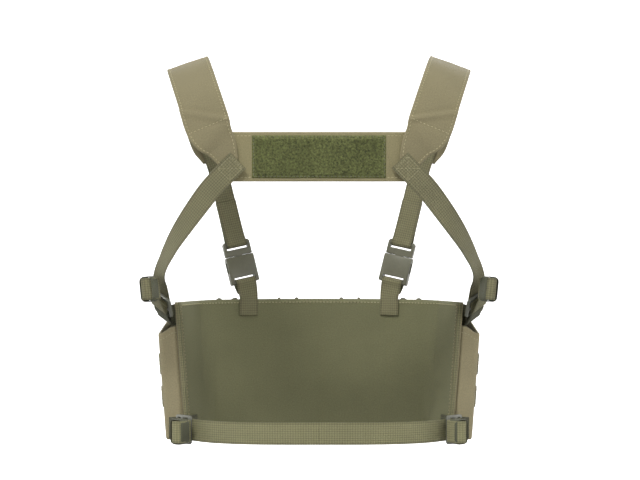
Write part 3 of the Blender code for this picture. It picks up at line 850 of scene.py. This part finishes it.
def strap_end(lock, packet, after=()):
    """The strap's last stations: under the end bar, up through the window and to the roll."""
    route = [(along, -STRAP_UNDER, (0, 0, 1)) for along in STRAP_FOOT]
    route += [*TAIL_ROUTE, *after]
    entry = lock.inverted() @ (packet @ Vector((0, -TAIL_ENTRY, 0)))
    rise, run = entry.z - route[-1][1], entry.y - route[-1][0]
    stations = [local_station(lock, along, out, facing) for along, out, facing in route]
    return [*stations, local_station(lock, entry.y, entry.z, (0, rise, -run))]


def bend_to_lock(piece, strip, lock):
    """Reads where the strap meets its lock and bakes the strap's place into its mesh."""
    end = lock @ Vector((0, STRAP_FOOT[1], -STRAP_UNDER))
    nearest = int(np.argmin(np.linalg.norm(strip.centres - np.array(end), axis=1)))
    start = strip.at(0, strip.reach[nearest] - BLEND_REACH, 0)
    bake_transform(piece)


def add_strap(name, stations, lock, nodes, material, lift):
    """A strap that runs through its lock."""
    strip = Strip(stations, 0.0015)
    piece = build_strip(name, strip, THROUGH_THICK, material, 12, lift)
    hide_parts(*nodes)
    bend_to_lock(piece, strip, lock)
    return strip


def add_side_strap(name, side, lock, packet):
    def lift(across, along):
        seam = hump(abs(across) - SIDE_BOX_HALF, 0.0015) * (along < 0.024)
        return -0.0002 * seam + 0.0002 * ripple(across, along, 8 + side)

    stations = [*side_stations(side, SIDE_ROWS), *strap_end(lock, packet)]
    nodes = (f"side_strap_{name}", f"upper_{name}_strap_tail")
    web = f"side_strap_web_{name}"
    strip = add_strap(web, stations, lock, nodes, WEBBING, lift)
    seams = box_seams(strip, 0.003, 0.022, SIDE_BOX_HALF, THROUGH_THICK / 2)
    keep_on(sew(f"side_strap_box_{name}", seams), "root")


def add_waist_strap(locks):
    """Two halves of one strap, which meet at the middle of the back."""

    def lift(across, along):
        return 0.0002 * ripple(across, along, 4) * min(1, along / 0.01)

    for name, side in SIDES:
        lock, packet = locks[name]
        stations = [*side_stations(side, WAIST_ROWS), *strap_end(lock, packet, WAIST_TURN)]
        nodes = ("waist_strap", f"waist_{name}_strap_tail")
        web = f"waist_strap_web_{name}"
        add_strap(web, stations, lock, nodes, WAIST_WEBBING, lift)


# --- Ladder locks, their anchors and the rolled strap tails ---


def finish_node(node, material):
    data = NODES[node].data
    data.materials.clear()
    data.materials.append(material)


def mould(node, material, width):
    """Gives a plastic CAD node its material and rounds its edges, with no change to its mesh."""
    finish_node(node, material)
    obj = NODES[node]
    weld = obj.modifiers.new("weld", "WELD")
    weld.merge_threshold = 0.00001
    bevel = obj.modifiers.new("rounding", "BEVEL")
    bevel.width = width
    bevel.segments = 3
    bevel.limit_method = "ANGLE"
    bevel.angle_limit = math.radians(35)
    bevel.harden_normals = True
    obj.data.shade_smooth()


def add_anchor(node, place, sewn):
    """Webbing sewn to the panel, out to the lock, round its anchor bar and back on itself."""
    merge, near, half_gap = -0.013, -0.004, 0.0007
    under = [
        local_station(place, merge, -half_gap, (0, 0, -1)),
        local_station(place, near, 0.0003 - LOOP_RADIUS, (0, 0, -1)),
    ]
    turns = bar_turns(place, 0, (LOOP_RADIUS, LOOP_RADIUS), range(-90, 91, 30))
    over = [
        local_station(place, near, LOOP_RADIUS - 0.0003),
        local_station(place, merge, half_gap),
        local_station(place, merge - 0.003, half_gap),
    ]
    strip = Strip([*sewn, *under, *turns, *over], 0.0014)
    # The anchor loop's webbing is darkened as painted shade.
    add_web(f"{node}_loop", strip, ANCHOR_THICK, "root", node, material=ANCHOR_WEBBING_PAINTED_SHADE)


ROLL_TURNS = 3
ROLL_STEP = 0.0023
ROLL_CORE = 0.0008
ROLL_THICK = 0.0019


def roll_stations(packet, seed):
    """The strap's spare length, rolled flat: a spiral of webbing with round ends."""
    straight = (PACKET.y - PACKET.z) / 2
    steps = 18 * ROLL_TURNS
    spots = []
    for k in range(steps + 1):
        turn = 2 * math.pi * k / 18
        radius = ROLL_CORE + ROLL_STEP * turn / (2 * math.pi)
        reach = math.tanh(2.6 * math.cos(turn)) / math.tanh(2.6)
        sag = 1 + 0.10 * math.sin(turn * 2 + seed)
        spots.append((reach * straight + radius * math.cos(turn), radius * math.sin(turn) * sag))
    stations = []
    for k, (along, out) in enumerate(spots):
        before, after = spots[max(k - 1, 0)], spots[min(k + 1, steps)]
        way = (after[0] - before[0], after[1] - before[1])
        stations.append(local_station(packet, along, out, (0, way[1], -way[0])))
    return stations


def packet_place(centre, along, across, side):
    """The frame of a rolled tail, given for the wearer's right: Y along its length, X across."""
    along, across = mirrored(along, side), mirrored(across, side)
    return frame_at(centre, along, across.cross(along) * side)


def add_roll(name, packet, body, seed, material):
    """The strap's rolled spare length, with its elastic keeper."""
    roll = Strip(roll_stations(packet, seed), 0.0011)
    add_web(f"{name}_tail_roll", roll, ROLL_THICK, body, columns=12, material=material)
    keeper = add_keeper(f"{name}_keeper_band", packet, seed)
    keep_on(keeper, body, f"{name}_keeper", slot="elastic")


def add_keeper(name, packet, seed):
    """A short elastic loop round the rolled tail, pulled in a little at its middle."""
    half_x, half_z, corner = PACKET.x / 2 + 0.0002, PACKET.z / 2 + 0.0008, 0.0045
    width, thickness, centre, columns = 0.0150, 0.0009, 0.0020, 8
    outline = []
    for quarter in range(4):
        middle_x = (half_x - corner) * (1 if quarter in (0, 3) else -1)
        middle_z = (half_z - corner) * (1 if quarter in (0, 1) else -1)
        for degrees in (0, 30, 60, 90):
            turn = math.radians(degrees + 90 * quarter)
            spoke = (corner * math.cos(turn), corner * math.sin(turn))
            outline.append((middle_x + spoke[0], middle_z + spoke[1], turn))
    ring = []
    for (x, z, turn), (nx, nz, next_turn) in zip(outline, outline[1:] + outline[:1]):
        next_turn += 2 * math.pi if next_turn < turn else 0
        for part in (0, 0.5):
            angle = turn + (next_turn - turn) * part
            ring.append((x + (nx - x) * part, z + (nz - z) * part, angle))
    points, uvs, faces = [], [], []
    reach = 0
    for k, (x, z, angle) in enumerate(ring):
        px, pz, _ = ring[k - 1]
        reach += math.hypot(x - px, z - pz) if k else 0
        for layer in (1, 0):
            for j in range(columns + 1):
                part = 2 * j / columns - 1
                thick = thickness * math.sqrt(max(0.0, 1 - abs(part) ** 6)) * layer
                waist = -0.0004 * (1 - part * part) * math.sin(2 * angle + seed) ** 2
                lift = thick + waist
                spot_x, spot_z = x + math.cos(angle) * lift, z + math.sin(angle) * lift
                points.append(packet @ Vector((spot_x, centre + part * width / 2, spot_z)))
                uvs.append((part * width / 2, reach))
    size = 2 * (columns + 1)
    for k in range(len(ring)):
        a, b = k * size, ((k + 1) % len(ring)) * size
        for j in range(columns):
            faces.append((a + j, a + j + 1, b + j + 1, b + j))
            low_a, low_b = a + columns + 1, b + columns + 1
            faces.append((low_a + j, low_b + j, low_b + j + 1, low_a + j + 1))
        faces.append((a, b, b + columns + 1, a + columns + 1))
        faces.append((a + columns, a + 2 * columns + 1, b + 2 * columns + 1, b + columns))
    piece = make_piece(name, points, faces, uvs, ELASTIC)
    tidy_normals(piece)
    return piece


def stretch_frames(side):
    """Each flat stretch of the panel as its near corner, and its directions along, up and out."""
    corner = Vector((0, PANEL_Y, PANEL_MIDDLE))
    frames = []
    for number, (degrees, length) in enumerate(STRETCHES):
        turn = math.radians(degrees)
        along = Vector((side * math.cos(turn), -math.sin(turn), 0))
        out = Vector((side * math.sin(turn), math.cos(turn), 0))
        up = UP
        if number == len(STRETCHES) - 1:
            up = (up + out * SIDE_LEAN).normalized()
            out = (out - up * out.dot(up)).normalized()
        frames.append((corner, along, up, out, length))
        corner = corner + along * length
    return frames


FRAMES = {name: stretch_frames(side) for name, side in SIDES}


def panel_point(name, number, reach, height, offset):
    """A place on the panel: how far along one stretch, how high above its middle, how far out."""
    corner, along, up, out, _ = FRAMES[name][number]
    return corner + along * reach + up * height + out * offset


def add_lock(kind, name, side, line, packet, material, rows):
    """A lock with its rolled tail and its anchor, whose sewn end is given as rows on the panel."""
    place = frame_at(*[mirrored(vector, side) for vector in line])
    packet = packet(place)
    lock, anchor = f"{kind}_lock_{name}", f"{kind}_anchor_{name}"
    seed = side + (1 if kind == "upper" else 4)
    add_roll(f"{kind}_{name}", packet, f"{lock}_body", seed, material)
    out = FRAMES[name][2][3]
    add_anchor(anchor, place, [station(panel_point(name, 2, *row), -out) for row in rows])
    mould(lock, PLASTIC, 0.0009)
    return place, packet


def add_upper_lock(name, side):
    def packet(_):
        centre = mirrored(UPPER_PACKET, side)
        return packet_place(centre, UPPER_PACKET_ALONG, UPPER_PACKET_ACROSS, side)

    under = POUCH_OFFSET + 0.0007
    rows = ((0.024, 0.0655, under), (0.040, 0.0655, under), (0.050, 0.0655, under + 0.006))
    line = (UPPER_BAR, UPPER_ALONG, UPPER_OUT)
    return add_lock("upper", name, side, line, packet, WEBBING, rows)


def add_waist_lock(name, side):
    def packet(place):
        centre = place @ Vector((0, *WAIST_PACKET_AT))
        return packet_place(centre, WAIST_PACKET_ALONG, UP, side)

    rows = ((0.050, -0.0664, -0.0012), (0.066, -0.0664, -0.0012), (0.080, -0.0664, -0.0005))
    line = (WAIST_BAR, WAIST_ALONG, WAIST_OUT)
    return add_lock("waist", name, side, line, packet, WAIST_WEBBING, rows)


# --- Panel ---


FOLD_REACH = 0.009
PANEL_HALF = (PANEL_TOP - PANEL_LOW) / 2
LAYER_THICK = 0.0013
LAYER_ROWS = 26
PANEL_FACES = (-0.0001, 0.0061)
SEAM_INSET = 0.004
BINDING_WIDE = 0.0082


def panel_columns():
    """The panel's plan, as side, stretch and reach along it, from one rear edge to the other."""
    half = []
    last = len(STRETCHES) - 1
    for number, (_, length) in enumerate(STRETCHES):
        start = FOLD_REACH if number else 0
        end = length if number == last else length - FOLD_REACH
        half += [(number, reach) for reach in np.linspace(start, end, 12)]
    left = [("left", *row) for row in half[:0:-1]]
    return [*left, *[("right", *row) for row in half]]


COLUMNS = panel_columns()


def add_panel_layer(piece_name, node, inner, material, seed):
    """One cloth layer of the panel, with soft folds, slight waves and thick edges."""
    places = [panel_point(*column, 0, inner) for column in COLUMNS]
    reaches = [0]
    for before, here in zip(places, places[1:]):
        reaches.append(reaches[-1] + (here - before).length)
    total = reaches[-1]
    points, uvs, edges = [], [], []
    for column, along in zip(COLUMNS, reaches):
        for height in np.linspace(-PANEL_HALF, PANEL_HALF, LAYER_ROWS):
            edge = min(PANEL_HALF - abs(height), along, total - along)
            wave = 0.00045 * ripple(along, height, seed)
            rise = LAYER_THICK / 2 + wave + 0.0002 * hump(edge - 0.001, 0.003)
            points.append(panel_point(*column, height, inner + rise))
            uvs.append((along, height))
            edges.append(hump(edge, 0.003))
    faces = sheet_faces(LAYER_ROWS, len(COLUMNS))
    piece = make_piece(piece_name, points, faces, uvs, material, edges)
    solid = piece.modifiers.new("thickness", "SOLIDIFY")
    solid.thickness = LAYER_THICK
    solid.offset = 0
    keep_on(piece, "root", node, slot="cloth")
    return reaches


def add_panel():
    add_panel_layer("panel_lining", "panel_back", 0.0001, PANEL_CLOTH, 11)
    reaches = add_panel_layer("panel_face", "panel_front", 0.0047, CLOTH, 12)
    finish_node("stiffener_sheet", SHEET_PLASTIC)
    inner_face, outer_face = PANEL_FACES
    row_height = PANEL_HALF - SEAM_INSET
    seams = []
    for height in (row_height, -row_height):
        inner_seam, outer_seam = [], []
        for column, along in zip(COLUMNS, reaches):
            if SEAM_INSET < along < reaches[-1] - SEAM_INSET:
                out = FRAMES[column[0]][column[1]][3]
                outer_seam.append((panel_point(*column, height, outer_face), out))
                inner_seam.append((panel_point(*column, height, inner_face), -out))
        seams += [outer_seam, inner_seam]
    rear = STRETCHES[2][1] - SEAM_INSET
    for name, _ in SIDES:
        out = FRAMES[name][2][3]
        for offset, facing in ((outer_face, out), (inner_face, -out)):
            heights = np.linspace(-row_height, row_height, 30)
            seams.append([(panel_point(name, 2, rear, at, offset), facing) for at in heights])
    keep_on(sew("panel_seams", seams), "root")
    add_binding()


def add_binding():
    """Folded tape round the panel's two rear edges, which closes its layers."""
    for name, _ in SIDES:
        _, along, _, _, length = FRAMES[name][2]
        stations = []
        for height in np.linspace(-PANEL_HALF + 0.001, PANEL_HALF - 0.001, 8):
            point = panel_point(name, 2, length - 0.0005, height, 0.0031)
            stations.append(station(point, along, BINDING_WIDE))
        strip = Strip(stations, 0.003)

        def lift(across, at):
            return -0.9 * across * across / BINDING_WIDE + 0.0002 * ripple(across, at, 21)

        add_web(f"panel_binding_{name}", strip, 0.0016, "root", columns=8, lift=lift)


# --- Pouches ---


def pouch_place(name, number):
    """The frame of a pouch on one stretch: X across, Y up, Z out, at the stretch's middle."""
    corner, along, up, out, length = FRAMES[name][number]
    return frame_at(corner + along * length / 2 + out * POUCH_OFFSET, up, out)


CORNER = 0.0045
POUCH_STEP = 0.0034
BACK_WALL = 0.002
FLOOR_RINGS = (0.25, 0.6, 0.92)


def pouch_outline(width, depth):
    """The pouch in plan, as points round it from the back's middle."""
    half, inner, front = width / 2, width / 2 - CORNER, depth - CORNER
    path = [(0, 0), (inner, 0), (half, CORNER), (half, front), (inner, depth)]
    path += [(-x, z) for x, z in reversed(path)]
    outline = []
    for k, ((x0, z0), (x1, z1)) in enumerate(zip(path, path[1:])):
        count = max(2, round(math.hypot(x1 - x0, z1 - z0) / POUCH_STEP))
        for j in range(count):
            part = j / count
            x, z = x0 + (x1 - x0) * part, z0 + (z1 - z0) * part
            if k % 2 == 1:
                middle = CORNER if z < depth / 2 else front
                centre = Vector((math.copysign(inner, x), middle))
                x, z = centre + (Vector((x, z)) - centre).normalized() * CORNER
            outline.append((x, z))
    return outline


CLOTH_FRAMES = 18
CLOTH_SETTINGS = {
    "quality": 6,
    "mass": 0.15,
    "tension_stiffness": 15,
    "compression_stiffness": 15,
    "bending_stiffness": 1.5,
    "vertex_group_mass": "sewn",
    "pin_stiffness": 1,
    "shrink_min": -0.02,
    "use_pressure": True,
    "uniform_pressure_force": 3.0,
}
SWELL_CAP = 0.0030


def simulate(piece, pins):
    """Lets the cloth between its sewn edges swell and crease, then keeps that shape."""
    start = np.array([v.co for v in piece.data.vertices])
    group = piece.vertex_groups.new(name="sewn")
    for k, weight in enumerate(pins):
        group.add([k], float(weight), "REPLACE")
    cloth = piece.modifiers.new("cloth", "CLOTH")
    for key, value in CLOTH_SETTINGS.items():
        setattr(cloth.settings, key, value)
    cloth.settings.effector_weights.gravity = 0
    cloth.collision_settings.use_collision = False
    for k in range(1, CLOTH_FRAMES + 1):
        SCENE.frame_set(k)
    held = piece.evaluated_get(bpy.context.evaluated_depsgraph_get())
    moved = np.array([v.co for v in held.data.vertices]) - start
    piece.modifiers.remove(cloth)
    SCENE.frame_set(1)
    size = np.linalg.norm(moved, axis=1)
    capped = SWELL_CAP * np.tanh(size / SWELL_CAP)
    share = np.where(size > 0, capped / np.maximum(size, 1e-9), 0)
    moved = start + moved * share[:, None]
    piece.data.vertices.foreach_set("co", moved.astype(np.float32).ravel())
    piece.data.update()
    print(piece.name, "moved up to", round(float(size.max()) * 1000, 1), "mm")


def add_pouch(name, place, width, depth, low, rim_at, node):
    """An open-topped bag: its walls swell between the seams, and its rim is turned and sewn."""
    outline = pouch_outline(width, depth)
    around = len(outline)
    top = max(rim_at(x, z) for x, z in outline)
    rows = round((top - low) / POUCH_STEP)
    points, uvs, edges, pins = [], [], [], []
    reach, reaches = 0, []
    for k, (x, z) in enumerate(outline):
        reach += math.hypot(x - outline[k - 1][0], z - outline[k - 1][1]) if k else 0
        reaches.append(reach)
    floor = low - PANEL_MIDDLE
    for shrink in FLOOR_RINGS:
        for (x, z), along in zip(outline, reaches):
            inset = (1 - shrink) * depth / 2
            x_in = math.copysign(max(0, abs(x) - inset), x)
            z_in = depth / 2 + (z - depth / 2) * shrink
            points.append((x_in, floor + 0.0006 * (1 - shrink), z_in))
            uvs.append((along, -inset))
            edges.append(0)
            pins.append(1 if z < BACK_WALL else 0.6)
    for j in range(rows + 1):
        for (x, z), along in zip(outline, reaches):
            rim = rim_at(x, z) - PANEL_MIDDLE
            part = j / rows
            height = floor + (rim - floor) * part
            points.append((x, height, z))
            uvs.append((along, height))
            corner = hump(abs(x) - width / 2, 0.002) * hump(z - depth, 0.008)
            edges.append(max(hump(rim - height, 0.0025), 0.6 * corner))
            pins.append(1.0 if z < BACK_WALL or j == 0 else 0.35 if j == rows else 0.0)
    faces = loft(rows + 1 + len(FLOOR_RINGS), around, first=-1)
    bag = make_piece(f"pouch_bag_{name}", points, faces, uvs, POUCH_CLOTH, edges)
    simulate(bag, pins)
    coords = np.array([v.co for v in bag.data.vertices])
    bag.data.transform(place)
    solid = bag.modifiers.new("thickness", "SOLIDIFY")
    solid.thickness = 0.0015
    solid.offset = -1
    smooth = bag.modifiers.new("smooth", "SUBSURF")
    smooth.levels = smooth.render_levels = 1
    keep_on(bag, "root", node, slot="cloth")
    add_rim(name, place, coords[-around:], coords[-3 * around : -2 * around], bag)


HEM_PROFILE = (
    (-0.0016, -0.0100),
    (0.0006, -0.0098),
    (0.0009, -0.0040),
    (0.0005, 0.0004),
    (-0.0008, 0.0008),
    (-0.0020, 0.0003),
    (-0.0023, -0.0050),
)


def add_rim(name, place, ring, under, bag):
    """The rim's turned hem, as a folded tape with a line of stitches under it."""
    around = len(ring)
    outs = np.cross(np.roll(ring, -1, axis=0) - np.roll(ring, 1, axis=0), (0, 1, 0))
    outs *= math.copysign(1, outs[around // 2][2])
    outs /= np.linalg.norm(outs, axis=1)[:, None]
    seam, points, uvs = [], [], []
    reach = 0
    for k in range(around):
        reach += np.linalg.norm(ring[k] - ring[k - 1]) if k else 0
        down = under[k] - ring[k]
        down = down / np.linalg.norm(down)
        for out_by, down_by in HEM_PROFILE:
            spot = ring[k] + outs[k] * out_by - down * down_by
            points.append(tuple(spot))
            uvs.append((down_by, reach))
        spot = ring[k] + outs[k] * 0.0012 + down * 0.0075
        seam.append((place @ Vector(spot), place.to_3x3() @ Vector(outs[k])))
    faces = loft(around, len(HEM_PROFILE), wrap=1)
    hem = make_piece(f"pouch_hem_{name}", points, faces, uvs, HEM_CLOTH)
    hem.data.transform(place)
    tidy_normals(hem)
    keep_on(hem, "root", slot="cloth")
    sewn_to(sew(f"pouch_hem_seam_{name}", [seam + seam[:1]]), bag)


def eased(z, depth):
    """From 0 at a pouch's back wall to 1 at its front, with level ends."""
    part = min(1, max(0, (z - 0.004) / (depth - 0.008)))
    return part * part * (3 - 2 * part)


def mag_rim(x, z):
    return MAG_RIM[0] + (MAG_RIM[1] - MAG_RIM[0]) * eased(z, MAG_DEEP)


def add_mag_pouch(name, side_name, number):
    place = pouch_place(side_name, number)
    add_pouch(name, place, MAG_WIDE, MAG_DEEP, MAG_LOW, mag_rim, f"mag_pouch_{name}")
    add_retainer(name, place)


def add_retainer(name, place):
    """A bungee loop over the pouch's mouth, each end sewn down at the back under webbing."""
    back_y, back_z = MAG_RIM[0] - PANEL_MIDDLE, 0.006
    hinge = Vector((0, MAG_RIM[1] - PANEL_MIDDLE - 0.004, MAG_DEEP + 0.0028))
    spread = 0.011
    bends = (
        (spread, back_y + 0.0035, back_z - 0.002),
        (spread, back_y + 0.008, back_z + 0.004),
        (spread * 0.9, back_y + 0.004, MAG_DEEP - 0.006),
        (spread * 0.7, hinge.y + 0.012, MAG_DEEP + 0.0035),
        (spread * 0.4, hinge.y + 0.003, hinge.z),
    )
    arm = [Vector(row) for row in smooth_rows(bends, 22)]
    path = [*arm, *[mirrored(spot, -1) for spot in reversed(arm)]]
    piece = add_cord(f"bungee_cord_{name}", path, 0.0016, place)
    keep_on(piece, "root", f"bungee_{name}", slot="elastic")
    add_pull_tab(name, place @ Matrix.Translation(hinge))
    seams = []
    for letter, way in (("a", -1), ("b", 1)):
        foot = place @ Matrix.Translation((way * spread, back_y + 0.0052, -0.0003))
        falls = ((0.0, 0.0058), (0.004, 0.0054), (0.010, 0.0034), (0.016, 0.0030))
        stations = [local_station(foot, -drop, lift, width=0.010) for drop, lift in falls]
        strip = Strip(stations, 0.0015)
        add_web(f"bungee_patch_{name}_{letter}", strip, 0.0012, "root", columns=6)
        for along in (0.009, 0.013):
            seams.append(strip_seam(strip, [(-0.003, along), (0.003, along)], 0.0007))
    keep_on(sew(f"bungee_tacks_{name}", seams), "root")


def add_cord(name, path, radius, place):
    points, uvs = [], []
    turns, reach = 10, 0
    side = Vector((1, 0, 0))
    for k, spot in enumerate(path):
        way = (path[min(k + 1, len(path) - 1)] - path[max(k - 1, 0)]).normalized()
        side = (side - way * side.dot(way)).normalized()
        other = way.cross(side)
        reach += (spot - path[k - 1]).length if k else 0
        for turn in range(turns):
            angle = 2 * math.pi * turn / turns
            points.append(spot + (side * math.cos(angle) + other * math.sin(angle)) * radius)
            uvs.append((angle * radius, reach))
    faces = loft(len(path), turns, first=-1, last=1)
    piece = make_piece(name, points, faces, uvs, BRAID)
    piece.data.transform(place)
    tidy_normals(piece)
    return piece


def add_pull_tab(name, pivot):
    """A tab of webbing that hangs below the bungee's middle, with a box stitch on it."""
    rows = ((-0.0372, 0), (-0.026, 0.0002), (-0.012, 0.0001), (-0.0042, 0))
    strip = Strip([local_station(pivot, *row, width=0.016) for row in rows], 0.0016)

    def lift(across, along):
        edge = min(0.008 - abs(across), along, strip.length - along)
        return -0.00025 * hump(edge - 0.0026, 0.0016) + 0.00015 * ripple(across, along, 31)

    node = f"pull_tab_{name}"
    tab = add_web(f"pull_tab_web_{name}", strip, 0.0021, f"{node}_body", node, lift=lift)
    seams = box_seams(strip, 0.016, strip.length - 0.004, 0.0054, 0.00095)
    sewn_to(sew(f"pull_tab_box_{name}", seams), tab)


def add_side_pouch(name, side):
    place = pouch_place(name, 2)

    def rim(x, z):
        part = min(1, max(0, 0.5 - x * side / (SIDE_WIDE - 0.010)))
        front = SIDE_RIM[1] + (SIDE_RIM[2] - SIDE_RIM[1]) * part
        return SIDE_RIM[0] + (front - SIDE_RIM[0]) * eased(z, SIDE_DEEP)

    low = PANEL_LOW + 0.0004
    add_pouch(f"side_{name}", place, SIDE_WIDE, SIDE_DEEP, low, rim, f"side_pouch_{name}")
    for row_name, height in ROW_HEIGHTS:
        add_row(f"side_row_{row_name}_{name}", place, height - PANEL_MIDDLE)


def add_row(node, place, height):
    """A row of webbing across the side pouch, standing proud between its tacks."""
    half = SIDE_WIDE / 2 - 0.004
    base = SIDE_DEEP + 0.0018
    stations = []
    for part in np.linspace(-1, 1, 9):
        rise = 0.0022 * abs(math.sin(math.pi * part))
        point = place @ Vector((half * part, height, base + rise))
        stations.append(station(point, place.to_3x3() @ Vector((0, 0, 1))))
    strip = Strip(stations, 0.0018)
    row = add_web(f"{node}_web", strip, WEB_THICK, "root", node)
    seams = []
    for tack in (0.0028, strip.length / 2, strip.length - 0.0028):
        for along in (tack - 0.0006, tack + 0.0006):
            seams.append(strip_seam(strip, [(-0.0105, along), (0.0105, along)], WEB_THICK / 2))
    sewn_to(sew(f"{node}_tacks", seams), row)


# --- Front buckles ---


BUCKLE_EDGES = (
    ("buckle_female", 0.0006),
    ("buckle_male", 0.0007),
    ("prong_inner", 0.0005),
    ("prong_outer", 0.0005),
)
WEB_UNDER_ROWS = (
    ((0.1266, 0.1137, 0.0975), (0.2, 0.97, 0.05), WEB),
    ((0.1292, 0.1113, 0.1062), (0.2, 0.97, 0.12), WEB),
    ((0.1312, 0.1086, 0.1140), (0.2, 0.97, 0.20), WEB),
)


def add_buckle(name, side):
    line = (BUCKLE_FOOT, BUCKLE_HEAD - BUCKLE_FOOT, BUCKLE_OUT)
    place = frame_at(*[mirrored(vector, side) for vector in line])
    for node, width in BUCKLE_EDGES:
        mould(f"{node}_{name}", BUCKLE_PLASTIC, width)
    out = FRAMES[name][1][3]
    sewn = [
        station(panel_point(name, 1, 0.017, height, -0.0012), -out)
        for height in (0.060, 0.072, 0.083)
    ]
    under = local_station(place, 0.007, -0.0045, (0, 0.3, -1))
    turns = bar_turns(place, 0.0136, (0.0041, 0.0070), range(-90, 91, 30))
    over = [local_station(place, 0.007, 0.0045), local_station(place, 0.001, 0.0005)]
    anchor = Strip([*sewn, under, *turns, *over], 0.0016)
    add_web(f"buckle_loop_{name}", anchor, WEB_THICK, "root", f"buckle_anchor_{name}")

    layer = 0.0017
    rows = ((LOOP_HEAD, layer), (FIXED_WEB_FOOT - 0.004, layer), (0.0703, layer + 0.0012))
    back = [local_station(place, along, -out, (0, 0, -1)) for along, out in rows]
    turns = bar_turns(place, 0.06225, (0.005, 0.005), range(270, 89, -30))
    front = [local_station(place, *row) for row in reversed(rows)]
    strip = Strip([*back, *turns, *front], 0.0018)
    body = f"buckle_male_{name}_body"
    add_web(f"male_loop_{name}", strip, FRONT_WEB_THICK, body, f"male_web_{name}")

    head = (BUCKLE_HEAD - BUCKLE_FOOT).length
    steps = np.linspace(FIXED_WEB_FOOT, head - 0.006, 5)
    hanging = [local_station(place, along, 0) for along in steps]
    fixed = Strip([*hanging, *side_stations(side, WEB_UNDER_ROWS)])
    web, node = f"shoulder_web_strap_{name}", f"shoulder_web_{name}"
    add_web(web, fixed, FRONT_WEB_THICK, "root", node, columns=12)


# --- The whole rig ---


def main():
    add_camera()
    add_stage()
    add_lights()
    add_yoke()
    add_patch()
    locks = {}
    for name, side in SIDES:
        add_shoulder_strap(name, side)
        add_side_strap(name, side, *add_upper_lock(name, side))
        locks[name] = add_waist_lock(name, side)
        add_mag_pouch(f"inner_{name}", name, 0)
        add_mag_pouch(f"outer_{name}", name, 1)
        add_side_pouch(name, side)
        add_buckle(name, side)
    add_waist_strap(locks)
    add_panel()


main()
